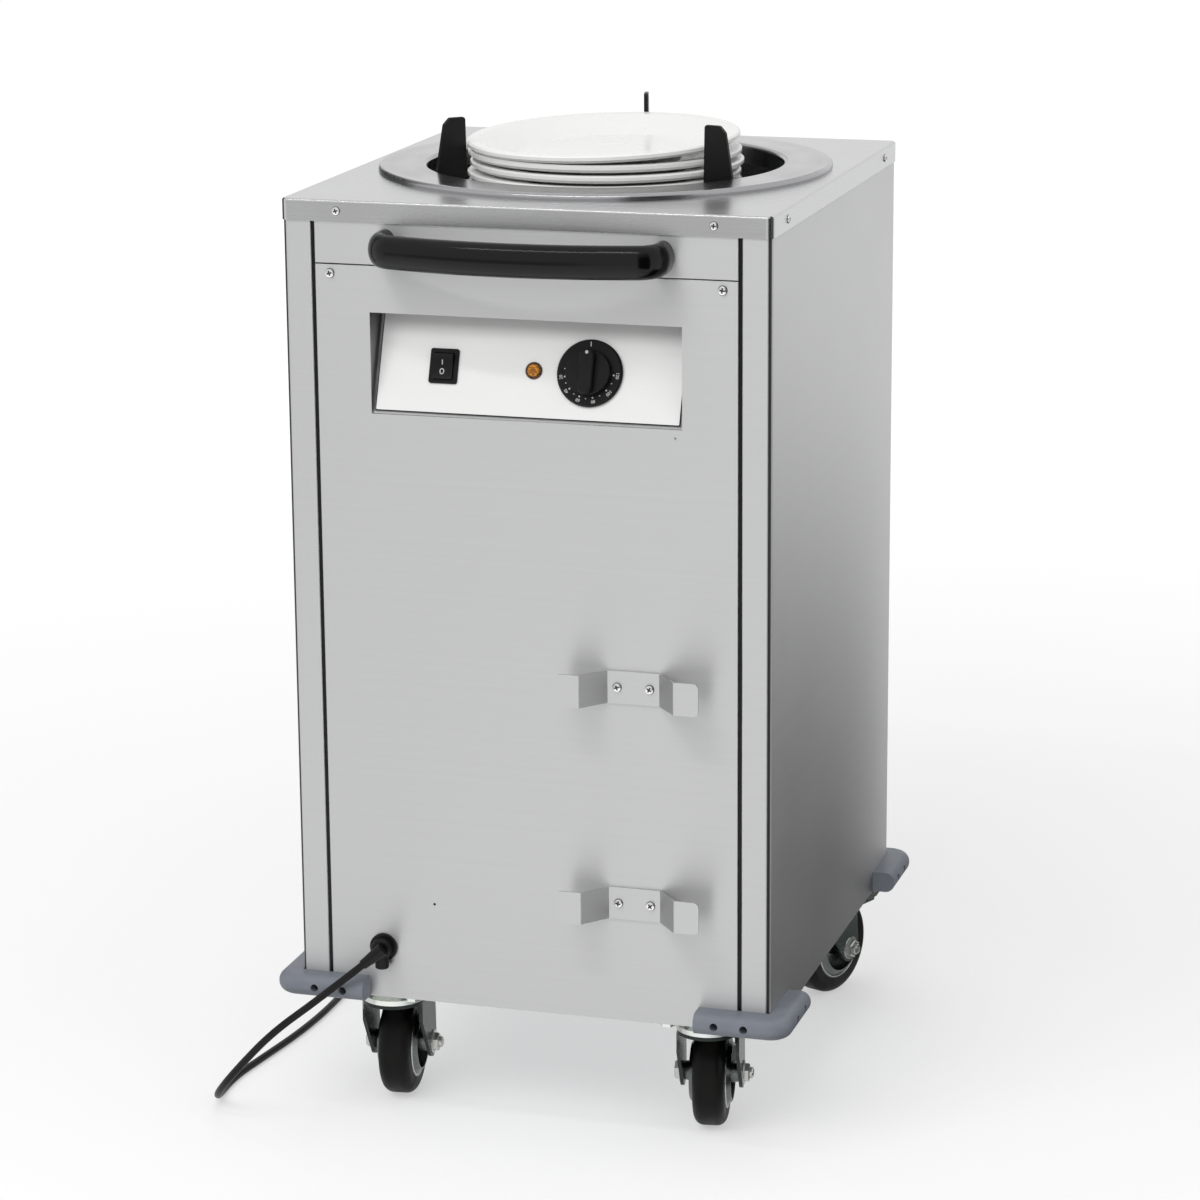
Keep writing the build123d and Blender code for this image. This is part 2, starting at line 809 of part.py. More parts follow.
# ---------------------------------------------------------------- thermostat and knob
knob_place = on_back(knob_x, control_line, control_sheet)
with BuildPart() as thermostat:
    with BuildSketch(on_back(knob_x, control_line, -recess_sheet)):
        Circle(thermostat_radius)
    extrude(amount=-thermostat_depth)
    with BuildSketch(on_back(knob_x, control_line, -recess_sheet)):
        Circle(thermostat_bush_radius)
    extrude(amount=recess_sheet + control_sheet + thermostat_bush_length)
    with Locations(knob_place.offset(thermostat_bush_length)):
        Hole(spindle_radius + running_fit, depth=thermostat_depth)
save(thermostat.part, "thermostat")

knob_base = knob_place.offset(knob_gap)
knob_rise = knob_skirt + knob_boss
with BuildPart() as thermostat_knob:
    with BuildSketch(knob_base):
        Circle(knob_skirt_radius)
    extrude(amount=knob_skirt)
    chamfer(
        thermostat_knob.faces().sort_by(Axis(knob_base.origin, knob_base.z_dir))[-1].edges(),
        knob_chamfer,
    )
    with BuildSketch(knob_base):
        Circle(knob_boss_radius)
    extrude(amount=knob_rise)
    fillet(
        thermostat_knob.faces().sort_by(Axis(knob_base.origin, knob_base.z_dir))[-1].edges(),
        2 * edge_break,
    )
    with BuildSketch(knob_base.offset(knob_skirt)):
        SlotOverall(2 * knob_boss_radius - edge_break, knob_bar_width, rotation=90)
    extrude(amount=knob_boss + knob_bar_rise - knob_skirt)
    fillet(
        thermostat_knob.faces().sort_by(Axis(knob_base.origin, knob_base.z_dir))[-1].edges(),
        3 * edge_break,
    )
    with BuildSketch(knob_base):
        Circle(knob_cavity_radius)
    extrude(amount=knob_cavity, mode=Mode.SUBTRACT)
    with BuildSketch(knob_base):
        Circle(spindle_radius + running_fit)
    extrude(amount=knob_cavity + knob_socket, mode=Mode.SUBTRACT)
save(thermostat_knob.part, "thermostat_knob")

spindle_back = thermostat_depth - thermostat_bush_length - spindle_end_gap
with BuildPart() as knob_spindle:
    with BuildSketch(knob_base.offset(knob_cavity + knob_socket)):
        Circle(spindle_radius)
    extrude(amount=-(knob_cavity + knob_socket + knob_gap + spindle_back))
save(knob_spindle.part, "knob_spindle")

# ---------------------------------------------------------------- handle
half_span = handle_span / 2
with BuildPart() as handle:
    with BuildLine(Plane((0, front_y, handle_height))):
        FilletPolyline(
            (-half_span, 0),
            (-half_span, -handle_straight),
            (0, -handle_vertex),
            (half_span, -handle_straight),
            (half_span, 0),
            radius=[handle_end_radius, handle_bow_radius, handle_end_radius],
        )
    with BuildSketch(Plane(origin=(-half_span, front_y, handle_height), x_dir=(1, 0, 0), z_dir=(0, -1, 0))):
        Ellipse(handle_thick / 2, handle_tall / 2)
    sweep()
save(handle.part, "handle")


# ---------------------------------------------------------------- cord hooks
def cord_hook(height):
    """Folded strip with a wing and a lip at each side, to wind the cord on."""
    root = hook_base / 2
    tip = root + hook_wing
    back = -hook_sheet / 2
    front = back - hook_reach
    with BuildPart() as hook:
        with BuildSketch(Plane((hook_x, front_y, height - hook_tall / 2))):
            with BuildLine():
                FilletPolyline(
                    (-tip - hook_lip, front),
                    (-tip, front),
                    (-root, back),
                    (root, back),
                    (tip, front),
                    (tip + hook_lip, front),
                    radius=hook_sheet,
                )
            trace(line_width=hook_sheet)
        extrude(amount=hook_tall)
        lip_corners = [
            edge
            for edge in hook.edges().filter_by(Axis.Y)
            if abs((edge @ 0.5).X - hook_x) > tip + hook_lip / 2
        ]
        fillet(lip_corners, hook_corner)
        screw_spots = [
            on_face(front_plane, hook_x + side * hook_screw_spacing / 2, height, hook_sheet) for side in (-1, 1)
        ]
        with Locations(*screw_spots):
            Hole(panel_screw_shank + screw_fit, depth=2 * hook_sheet)
    return hook.part


save(cord_hook(hook_heights[0]), "upper_cord_hook")
save(cord_hook(hook_heights[1]), "lower_cord_hook")

# ---------------------------------------------------------------- cable gland
cord_start = Vector(*cord_route[0])
cord_heading = (Vector(*cord_route[1]) - cord_start).normalized()
nose_root = cord_start - cord_heading * gland_nose_length
with BuildPart() as cable_gland:
    with BuildSketch(gland_place):
        Circle(gland_radius)
    extrude(amount=gland_flange)
    with BuildSketch(gland_place):
        Circle(gland_dome_radius)
    extrude(amount=gland_dome)
    fillet(cable_gland.faces().sort_by(Axis.Y)[0].edges(), gland_flange)
    with BuildSketch(gland_place):
        Circle(gland_dome_radius - gland_flange - screw_fit)
    extrude(amount=-gland_dome)
    with BuildSketch(Plane((gland_x, front_y - gland_clamp_radius - body_gap, gland_height))):
        Circle(gland_clamp_radius)
    extrude(amount=-gland_clamp_drop)
    chamfer(cable_gland.faces().sort_by(Axis.Z)[0].edges(), 2 * edge_break)
    with BuildSketch(Plane(origin=nose_root, z_dir=cord_heading)):
        Circle(gland_nose_radius)
    with BuildSketch(Plane(origin=cord_start, z_dir=cord_heading)):
        Circle(gland_tip_radius)
    loft()
save(cable_gland.part, "cable_gland")


# ---------------------------------------------------------------- plates
def plate_profile(base):
    """Half section of one plate, foot down, as (radius, height) corners."""
    foot_top = base + plate_pitch - plate_wall
    return [
        (0, foot_top),
        (plate_foot_radius - plate_foot_width, foot_top),
        (plate_foot_radius - plate_foot_width, base),
        (plate_foot_radius, base),
        (plate_foot_radius + plate_foot_width, foot_top + edge_break),
        (plate_radius - plate_rim_width, base + plate_height - plate_rim_height - edge_break),
        (plate_radius - plate_foot_width, base + plate_height - plate_rim_height),
        (plate_radius, base + plate_height - plate_lip_low),
        (plate_radius, base + plate_height - plate_lip_high),
        (plate_radius - plate_foot_width / 2, base + plate_height),
        (plate_radius - plate_rim_width, base + plate_height - edge_break),
        (plate_foot_radius + 2 * plate_foot_width, base + plate_pitch + edge_break),
        (plate_foot_radius + plate_foot_width, base + plate_pitch),
        (0, base + plate_pitch),
    ]


def plate(base, shift_x, shift_y, lean=0.0):
    """One plate, able to lean on the edge of its foot."""
    axis_x = shift_x
    axis_y = well_y + shift_y
    with BuildPart() as china:
        with BuildSketch(Plane((axis_x, axis_y, 0), x_dir=(1, 0, 0), z_dir=(0, -1, 0))):
            with BuildLine():
                Polyline(*plate_profile(base), close=True)
            make_face()
        revolve(axis=Axis((axis_x, axis_y, 0), (0, 0, 1)))
    heading = radians(top_plate_heading)
    foot_x = axis_x - plate_foot_radius * cos(heading)
    foot_y = axis_y - plate_foot_radius * sin(heading)
    return china.part.rotate(Axis((foot_x, foot_y, base), (sin(heading), -cos(heading), 0)), lean)


stack = [
    plate(
        platform_top + level * plate_pitch,
        plate_shift * cos(plate_wander * level),
        plate_shift * sin(plate_wander * level),
        top_plate_lean if level == plate_count - 1 else 0.0,
    )
    for level in range(plate_count)
]
save(Compound(children=stack), "plates")


# ---------------------------------------------------------------- plate guides
def guide(number):
    """Upright fin on a pin, set a little off the radial line and able to turn on its pin."""
    turn = guide_angle + number * 360 / guide_count
    spot_x = guide_pivot_radius * cos(radians(turn))
    spot_y = well_y + guide_pivot_radius * sin(radians(turn))
    outward = radians(turn + guide_twist)
    fin = Plane(
        origin=(spot_x, spot_y, 0),
        x_dir=(cos(outward), sin(outward), 0),
        z_dir=(sin(outward), -cos(outward), 0),
    )
    with BuildPart() as blade:
        with BuildSketch(fin.offset(-guide_thickness / 2)) as outline:
            with BuildLine():
                Polyline(
                    (-guide_inner_lower, guide_bottom),
                    (guide_outer_lower, guide_bottom),
                    (guide_outer_lower, worktop_height - guide_flare_drop),
                    (guide_outer_top, guide_top - guide_shoulder_drop),
                    (guide_outer_top - guide_shoulder_drop, guide_top),
                    (-guide_inner, guide_top),
                    close=True,
                )
            make_face()
            fillet(outline.vertices().sort_by(Axis.Y)[-3:], guide_shoulder_drop / 2)
        extrude(amount=guide_thickness)
        chamfer(blade.faces().filter_by(Axis(fin.origin, fin.z_dir)).edges(), edge_break)
        with BuildSketch(Plane((spot_x, spot_y, guide_seat))):
            Circle(guide_collar_radius)
        extrude(amount=guide_collar_height)
        with BuildSketch(Plane((spot_x, spot_y, guide_seat))):
            Circle(guide_pin_radius)
        extrude(amount=-guide_pin_length)
    return blade.part


guide_spots = []
for number, name in enumerate(("rear_guide", "front_left_guide", "front_right_guide")):
    turn = radians(guide_angle + number * 360 / guide_count)
    guide_spots.append((guide_pivot_radius * cos(turn), well_y + guide_pivot_radius * sin(turn)))
    save(guide(number), name)

# ---------------------------------------------------------------- dispenser frame
guide_step = 360 / guide_count
upright_angles = [guide_angle + upright_angle + (number - 1) * guide_step for number in range(guide_count)]
with BuildPart() as dispenser_top_ring:
    with BuildSketch(Plane((0, well_y, top_ring_base))):
        Circle(frame_ring_outer)
        Circle(top_ring_inner, mode=Mode.SUBTRACT)
    extrude(amount=frame_sheet)
    with BuildSketch(Plane((0, well_y, top_ring_base))):
        with PolarLocations(hanger_circle_radius, guide_count, start_angle=guide_angle):
            Circle(hanger_radius)
    extrude(amount=worktop_under - top_ring_base)
    with Locations(*[Plane((x, y, guide_seat)) for x, y in guide_spots]):
        Hole(guide_pin_radius + running_fit, depth=2 * frame_sheet)
save(dispenser_top_ring.part, "dispenser_top_ring")

with BuildPart() as dispenser_cage:
    with BuildSketch(Plane((0, well_y, base_ring_height))):
        Circle(frame_ring_outer)
        Circle(base_ring_inner, mode=Mode.SUBTRACT)
    extrude(amount=frame_sheet)
    with BuildSketch(Plane((0, well_y, upright_base))):
        with PolarLocations(upright_circle_radius, guide_count, start_angle=upright_angles[0]):
            Circle(upright_radius)
    extrude(amount=top_ring_base - upright_base)
save(dispenser_cage.part, "dispenser_cage")

# ---------------------------------------------------------------- plate carriage
tube_base = spider_base + spider_thickness
with BuildPart() as plate_platform:
    with BuildSketch(Plane((0, well_y, platform_top))):
        Circle(platform_radius)
    extrude(amount=-platform_rim)
    fillet(plate_platform.faces().sort_by(Axis.Z)[-1].edges(), 2 * platform_sheet)
    offset(amount=-platform_sheet, openings=plate_platform.faces().sort_by(Axis.Z)[0])
    with BuildSketch(Plane((0, well_y, tube_base))):
        Circle(carriage_tube_radius)
        Circle(carriage_tube_radius - carriage_tube_wall, mode=Mode.SUBTRACT)
    extrude(amount=platform_top - platform_sheet - tube_base)
save(plate_platform.part, "plate_platform")

with BuildPart() as carriage_spider:
    with BuildSketch(Plane((0, well_y, spider_base))):
        Circle(spider_hub_radius)
        with PolarLocations(upright_circle_radius / 2, guide_count, start_angle=upright_angles[0]):
            Rectangle(upright_circle_radius, spider_arm_width)
        with PolarLocations(upright_circle_radius, guide_count, start_angle=upright_angles[0]):
            Circle(spider_arm_width / 2 + spider_thickness / 2)
        Circle(carriage_tube_radius / 2, mode=Mode.SUBTRACT)
        with PolarLocations(upright_circle_radius, guide_count, start_angle=upright_angles[0]):
            Circle(bush_radius + running_fit, mode=Mode.SUBTRACT)
    extrude(amount=spider_thickness)
save(carriage_spider.part, "carriage_spider")

with BuildPart() as carriage_bushes:
    with BuildSketch(Plane((0, well_y, tube_base))):
        with PolarLocations(upright_circle_radius, guide_count, start_angle=upright_angles[0]):
            Circle(bush_flange_radius)
    extrude(amount=bush_flange)
    with BuildSketch(Plane((0, well_y, tube_base))):
        with PolarLocations(upright_circle_radius, guide_count, start_angle=upright_angles[0]):
            Circle(bush_radius)
    extrude(amount=-bush_height)
    with BuildSketch(Plane((0, well_y, tube_base + bush_flange))):
        with PolarLocations(upright_circle_radius, guide_count, start_angle=upright_angles[0]):
            Circle(upright_radius + running_fit)
    extrude(amount=-bush_height - bush_flange, mode=Mode.SUBTRACT)
save(carriage_bushes.part, "carriage_bushes")

with BuildPart() as carriage_springs:
    with BuildSketch(Plane((0, well_y, tube_base))):
        with PolarLocations(spring_circle_radius, guide_count, start_angle=upright_angles[0]):
            Circle(spring_radius)
        with PolarLocations(spring_circle_radius, guide_count, start_angle=upright_angles[0]):
            Circle(spring_radius - spring_wire, mode=Mode.SUBTRACT)
    extrude(amount=top_ring_base - tube_base)
save(carriage_springs.part, "carriage_springs")

# ---------------------------------------------------------------- heater
with BuildPart() as heater_element:
    with BuildSketch(Plane((0, well_y, 0), x_dir=(1, 0, 0), z_dir=(0, -1, 0))):
        with Locations((heater_circle_radius, heater_height)):
            Circle(heater_tube_radius)
    revolve(axis=Axis((0, well_y, 0), (0, 0, 1)))
save(heater_element.part, "heater_element")

with BuildPart() as heater_brackets:
    with BuildSketch(Plane((0, well_y, pan_top))):
        with PolarLocations(heater_circle_radius, guide_count, start_angle=guide_angle):
            Rectangle(bracket_foot, bracket_width)
    extrude(amount=bracket_sheet)
    with BuildSketch(Plane((0, well_y, pan_top))):
        with PolarLocations(heater_circle_radius, guide_count, start_angle=guide_angle):
            Rectangle(3 * heater_tube_radius, bracket_sheet)
    extrude(amount=heater_height - pan_top)
    with BuildSketch(Plane((0, well_y, 0), x_dir=(1, 0, 0), z_dir=(0, -1, 0))):
        with Locations((heater_circle_radius, heater_height)):
            Circle(heater_tube_radius)
    revolve(axis=Axis((0, well_y, 0), (0, 0, 1)), mode=Mode.SUBTRACT)
save(heater_brackets.part, "heater_brackets")

# ---------------------------------------------------------------- casters
raceway_top = body_base - mount_plate_sheet
raceway_base = raceway_top - raceway_height
crown_top = raceway_base - body_gap
crown_base = crown_top - fork_sheet
raceway_step = raceway_sheet * 2
with BuildPart() as caster_mount:
    with BuildSketch(Plane((0, 0, raceway_top))):
        RectangleRounded(mount_plate, mount_plate, fork_fold)
    extrude(amount=mount_plate_sheet)
    with BuildSketch(Plane.XZ):
        with BuildLine():
            Polyline(
                (0, raceway_top),
                (raceway_radius - 2 * raceway_step, raceway_top),
                (raceway_radius - raceway_step, raceway_top - raceway_sheet),
                (raceway_radius, raceway_top - 2 * raceway_step),
                (raceway_radius, raceway_base),
                (raceway_radius - raceway_step, raceway_base),
                (raceway_radius - 2 * raceway_step, raceway_top - 2 * raceway_step),
                (kingpin_radius, raceway_top - 2 * raceway_step),
                (kingpin_radius, crown_base - body_gap),
                (kingpin_head_radius, crown_base - body_gap),
                (kingpin_head_radius, crown_base - body_gap - kingpin_head),
                (0, crown_base - body_gap - kingpin_head),
                close=True,
            )
        make_face()
    revolve(axis=Axis.Z)
    with GridLocations(mount_hole_spacing, mount_hole_spacing, 2, 2):
        with Locations((0, 0, body_base)):
            Hole(caster_bolt_radius + screw_fit, depth=2 * mount_plate_sheet)
save(
    placed(caster_mount.part, [Plane((x, y, 0)) for x, y in caster_centres.values()]),
    "caster_mounts",
)

axle_height = wheel_radius
leg_inner = fork_width / 2 - fork_sheet
pivot_back, pivot_height = brake_pivot
side_plane = Plane(origin=(-fork_width, 0, 0), x_dir=(0, 1, 0), z_dir=(1, 0, 0))
with BuildPart() as fork_shape:
    with BuildSketch(Plane(origin=(0, -fork_crown_radius, 0), x_dir=(-1, 0, 0), z_dir=(0, 1, 0))) as channel:
        with Locations((0, crown_top / 2)):
            Rectangle(fork_width, crown_top)
        fillet(channel.vertices().group_by(Axis.Y)[-1], fork_fold)
    extrude(amount=fork_crown_radius + fork_tail)
    with BuildSketch(Plane(origin=(0, -fork_crown_radius, 0), x_dir=(-1, 0, 0), z_dir=(0, 1, 0))) as hollow:
        with Locations((0, crown_base / 2)):
            Rectangle(fork_width - 2 * fork_sheet, crown_base)
        fillet(hollow.vertices().group_by(Axis.Y)[-1], fork_fold - fork_sheet)
    extrude(amount=fork_crown_radius + fork_tail, mode=Mode.SUBTRACT)
    with BuildSketch(side_plane):
        with Locations((caster_trail, axle_height)):
            Circle(hub_core_radius + fork_sheet)
        with Locations(((fork_cheek_back - 2 * fork_fold) / 2, crown_top - fork_cheek / 2)):
            Rectangle(fork_cheek_back + 2 * fork_fold, fork_cheek)
        make_hull()
        with Locations((-fork_crown_radius / 2, crown_top - fork_fold)):
            Rectangle(fork_crown_radius, 2 * fork_fold)
        with Locations((fork_tail / 2, crown_top - fork_ear / 2)):
            Rectangle(fork_tail, fork_ear)
    extrude(amount=2 * fork_width, mode=Mode.INTERSECT)
    with BuildSketch(Plane.XY):
        Circle(fork_crown_radius)
        with Locations((0, fork_tail / 2)):
            Rectangle(2 * fork_crown_radius, fork_tail)
    extrude(amount=crown_top, mode=Mode.INTERSECT)
    with Locations((0, 0, crown_top)):
        Hole(kingpin_radius + running_fit, depth=2 * fork_sheet)
    with Locations(Plane(origin=(fork_width / 2, caster_trail, axle_height), z_dir=(1, 0, 0))):
        Hole(axle_radius + running_fit, depth=fork_width)
    with Locations(Plane(origin=(fork_width / 2, pivot_back, pivot_height), z_dir=(1, 0, 0))):
        Hole(brake_pin_radius + running_fit, depth=fork_width)

with BuildPart() as axle_bolt:
    with BuildSketch(Plane(origin=(-fork_width / 2, caster_trail, axle_height), z_dir=(-1, 0, 0))):
        RegularPolygon(axle_head_radius, 6)
    extrude(amount=axle_head)
    with BuildSketch(Plane(origin=(fork_width / 2, caster_trail, axle_height), z_dir=(1, 0, 0))):
        RegularPolygon(axle_head_radius, 6)
    extrude(amount=axle_head)
    with BuildSketch(Plane(origin=(-fork_width / 2, caster_trail, axle_height), z_dir=(1, 0, 0))):
        Circle(axle_radius)
    extrude(amount=fork_width + axle_head + axle_radius / 2)

with BuildPart() as brake_pin:
    for side in (-1, 1):
        with BuildSketch(Plane(origin=(side * fork_width / 2, pivot_back, pivot_height), z_dir=(side, 0, 0))):
            Circle(2 * brake_pin_radius)
        extrude(amount=brake_pin_radius / 2)
    with BuildSketch(Plane(origin=(-fork_width / 2, pivot_back, pivot_height), z_dir=(1, 0, 0))):
        Circle(brake_pin_radius)
    extrude(amount=fork_width)

wheel_plane = Plane(origin=(0, caster_trail, axle_height), x_dir=(1, 0, 0), z_dir=(0, -1, 0))
wheel_axis = Axis((0, caster_trail, axle_height), (1, 0, 0))
tyre_half = tyre_width / 2
hub_length = 2 * (leg_inner - body_gap)
with BuildPart() as hub_shape:
    with BuildSketch(wheel_plane):
        with BuildLine():
            Polyline(
                (0, axle_radius + running_fit),
                (hub_length / 2, axle_radius + running_fit),
                (hub_length / 2, hub_core_radius - axle_head_radius / 4),
                (tyre_half / 2, hub_core_radius),
                (tyre_half / 3, hub_cup_radius - fork_sheet),
                (hub_cup_half, hub_cup_radius - hub_lip),
                (hub_cup_half, hub_cup_radius),
                (tyre_half, hub_rim_radius),
                (tyre_half, tyre_bore_radius),
                (0, tyre_bore_radius),
                close=True,
            )
        make_face()
        mirror(about=Plane(origin=wheel_plane.origin, z_dir=(1, 0, 0)))
    revolve(axis=wheel_axis)

with BuildPart() as tyre_shape:
    with BuildSketch(wheel_plane) as section:
        with Locations((0, (wheel_radius + tyre_bore_radius + running_fit) / 2)):
            Rectangle(tyre_width, wheel_radius - tyre_bore_radius - running_fit)
        fillet(section.vertices().group_by(Axis.Y)[-1], tyre_shoulder)
    revolve(axis=wheel_axis)


def around_axle(angle, radius):
    """Point (back, up) at an angle and distance from the wheel axle."""
    return caster_trail + radius * cos(radians(angle)), axle_height + radius * sin(radians(angle))


shoe_radius = wheel_radius + brake_clearance
tail_rise = axle_height + shoe_radius * sin(radians(brake_shoe_end))
with BuildPart() as brake_lever:
    with BuildSketch(side_plane.offset(fork_width - brake_width / 2)):
        with BuildLine():
            heel = around_axle(brake_shoe_start, shoe_radius)
            toe = around_axle(brake_shoe_end, shoe_radius)
            RadiusArc(heel, toe, shoe_radius)
            Polyline(
                toe,
                (brake_tip - 2 * brake_thickness, tail_rise + brake_pad_rise),
                (brake_tip, tail_rise + brake_tip_rise),
                (brake_tip - brake_thickness / 2, tail_rise + brake_top_rise),
                (brake_tip - 3 * brake_thickness, tail_rise + brake_back_rise),
                (pivot_back + 2 * brake_thickness, tail_rise + brake_back_rise),
                (pivot_back + brake_thickness / 2, pivot_height + brake_thickness),
                (pivot_back - brake_thickness, pivot_height + brake_thickness),
                heel,
            )
        make_face()
    extrude(amount=brake_width)
    with Locations(Plane(origin=(brake_width, pivot_back, pivot_height), z_dir=(1, 0, 0))):
        Hole(brake_pin_radius + running_fit, depth=2 * brake_width)

for name, (x, y) in caster_centres.items():
    station = Plane(Location((x, y, 0), (0, 0, -caster_headings[name])))
    fork_solids = [fork_shape.part, axle_bolt.part]
    if name in braked_casters:
        fork_solids.append(brake_pin.part)
        save(placed(brake_lever.part, [station]), f"{name}_brake")
    save(Compound(children=[solid.moved(Location(station)) for solid in fork_solids]), f"{name}_fork")
    save(placed(hub_shape.part, [station]), f"{name}_hub")
    save(placed(tyre_shape.part, [station]), f"{name}_tyre")

# ---------------------------------------------------------------- screws
panel_screw = pan_screw(panel_screw_radius, panel_screw_head, panel_screw_shank, panel_recess + 3 * sheet)
flange_screw = pan_screw(flange_screw_radius, panel_screw_head, panel_screw_shank, 4 * sheet)
hook_screw = pan_screw(panel_screw_radius, panel_screw_head, panel_screw_shank, 4 * hook_sheet)
bumper_screw = pan_screw(
    bumper_hole_radius - screw_fit, panel_screw_head, bumper_shank_radius, bumper_reach - bumper_hole_depth
)
with BuildPart() as caster_bolt:
    with BuildSketch(Plane.XY):
        RegularPolygon(caster_bolt_across, 6)
    extrude(amount=-caster_bolt_head)
    with BuildSketch(Plane.XY):
        Circle(caster_bolt_radius)
    extrude(amount=caster_bolt_length)

save(placed(panel_screw, front_panel_screws + rear_panel_screws), "panel_screws")
save(placed(flange_screw, [place.offset(sheet) for place in flange_screws_at]), "flange_screws")
save(placed(hook_screw, [place.offset(hook_sheet) for place in hook_screws_at]), "hook_screws")
save(placed(bumper_screw, bumper_seats), "bumper_screws")
save(
    placed(caster_bolt.part, [place.offset(-mount_plate_sheet) for place in caster_bolts_at]),
    "caster_bolts",
)

# ---------------------------------------------------------------- mains cord
def cord_tube(route, name):
    """Round cord along straight runs joined by tangent bends, with its volume compared."""
    radii = bend_radii(route)
    print(name, "bend radii", [round(radius, 1) for radius in radii])
    with BuildPart() as tube:
        with BuildLine() as centre_line:
            FilletPolyline(*route, radius=radii)
        path = centre_line.wires()[0]
        with BuildSketch(Plane(origin=path @ 0, z_dir=path % 0)):
            Circle(cord_radius)
        sweep(path=path)
    ratio = tube.part.volume / (pi * cord_radius**2 * path.length)
    print(name, "length", round(path.length, 1), "volume ratio", round(ratio, 4))
    return tube.part


cord_run = cord_tube(cord_route, "cord")
cord_tail = cord_tube(tail_route, "tail")
save(Compound(children=[cord_run, cord_tail]), "power_cord")

bundle = 2 * cord_radius
with BuildPart() as cord_coil:
    with BuildSketch(Plane((coil_x, coil_y, 0), x_dir=(1, 0, 0), z_dir=(0, -1, 0))):
        with Locations((coil_radius, bundle + cord_floor - cord_radius)):
            RectangleRounded(2 * bundle, 2 * bundle, coil_round)
    revolve(axis=Axis((coil_x, coil_y, 0), (0, 0, 1)))
save(cord_coil.part, "cord_coil")

plug_start = Vector(*tail_route[-1])
plug_heading = (plug_start - Vector(*tail_route[-2])).normalized()
plug_side = plug_heading.cross(Vector(0, 0, 1))


def plug_plane(along):
    return Plane(origin=plug_start + plug_heading * along, x_dir=plug_side, z_dir=plug_heading)


with BuildPart() as plug:
    with BuildSketch(plug_plane(0)):
        Circle(cord_radius + edge_break)
    with BuildSketch(plug_plane(plug_nose)):
        Circle(plug_nose_radius)
    loft()
    with BuildSketch(plug_plane(plug_nose)):
        Circle(plug_nose_radius)
    with BuildSketch(plug_plane(plug_nose + plug_body / 2)):
        RectangleRounded(plug_width, plug_depth, plug_corner)
    loft()
    with BuildSketch(plug_plane(plug_nose + plug_body / 2)):
        RectangleRounded(plug_width, plug_depth, plug_corner)
    extrude(amount=plug_body / 2)
    plug_face = plug_plane(plug_nose + plug_body)
    with BuildSketch(plug_face):
        with Locations((-blade_spacing / 2, blade_rise), (blade_spacing / 2, blade_rise)):
            Rectangle(blade_thickness, blade_width)
        with Locations((0, -ground_pin_drop)):
            Circle(ground_pin_radius)
    extrude(amount=blade_length)
save(plug.part, "plug")
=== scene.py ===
import json
from math import atan2, cos, degrees, pi, radians, sin, tan

import bmesh
import bpy
from mathutils import Matrix, Vector
from mathutils.bvhtree import BVHTree

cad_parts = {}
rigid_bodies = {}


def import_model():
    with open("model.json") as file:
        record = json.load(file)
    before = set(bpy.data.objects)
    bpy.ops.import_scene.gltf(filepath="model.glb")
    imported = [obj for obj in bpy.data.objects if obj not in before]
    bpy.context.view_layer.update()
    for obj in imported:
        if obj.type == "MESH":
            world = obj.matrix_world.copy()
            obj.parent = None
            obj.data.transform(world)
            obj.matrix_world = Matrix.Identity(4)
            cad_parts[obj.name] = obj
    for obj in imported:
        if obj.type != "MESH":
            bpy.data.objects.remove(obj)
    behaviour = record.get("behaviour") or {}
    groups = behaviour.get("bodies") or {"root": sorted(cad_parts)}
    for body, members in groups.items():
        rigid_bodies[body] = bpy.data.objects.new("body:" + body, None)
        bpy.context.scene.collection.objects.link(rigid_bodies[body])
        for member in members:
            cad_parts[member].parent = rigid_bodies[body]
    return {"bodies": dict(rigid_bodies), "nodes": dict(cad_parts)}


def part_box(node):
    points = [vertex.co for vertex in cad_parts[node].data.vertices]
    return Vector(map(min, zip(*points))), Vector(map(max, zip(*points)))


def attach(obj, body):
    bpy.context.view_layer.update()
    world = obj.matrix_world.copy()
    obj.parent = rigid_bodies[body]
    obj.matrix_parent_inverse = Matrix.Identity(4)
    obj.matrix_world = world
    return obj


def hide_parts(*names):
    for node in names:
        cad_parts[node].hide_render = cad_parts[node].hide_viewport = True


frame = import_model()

# Plate warmer cabinet.  Sizes of its pieces are millimetres until MM turns them into metres;
# the studio round it is laid out in metres.  +Z is up, -Y is the front.

# ------------------------------------------------------------------ sizes
MM = 0.001
CABINET_Y = 1.1228
FRONT_Y = -240.1772
REAR_Y = 242.4228
WELL_Y = CABINET_Y + 12.0
WORKTOP_TOP = 867.0
SHEET = 1.2
FRONT, REAR = (0, -1, 0), (0, 1, 0)

# The control plate slopes back in its recess; its places run across it and up the slope.
RECESS_SILL = Vector((0.0, FRONT_Y + 2.6, 676.5))
RECESS_TILT = atan2(33.4, 91.3)
RECESS_RISE = 97.2
PLATE_HALF_WIDTH = 140.15
PLATE_HALF_HEIGHT = 45.25
# Width and height of the dark strip round the control plate, a painted shadow of its gap.
GAP_SHADE_WIDTH, GAP_SHADE_HEIGHT = 0.7, 1.3
CONTROL_LINE = 45.0
SWITCH_X = -80.0
KNOB_X = 55.5

# Grooves beside the front panel and the dark strips of painted shade in them, how far back the
# painted shade on the folds of the side sheets reaches, and the width over which it fades in.
GROOVE_INNER, GROOVE_OUTER = 194.0, 197.0
GROOVE_LOW, GROOVE_HIGH = 126.0, 864.0
GROOVE_BACK = FRONT_Y + 5.0
STRIP_FACE = FRONT_Y + 1.5
STRIP_GAP = 0.1
FOLD_DEPTH = 3.0
FADE = 0.8

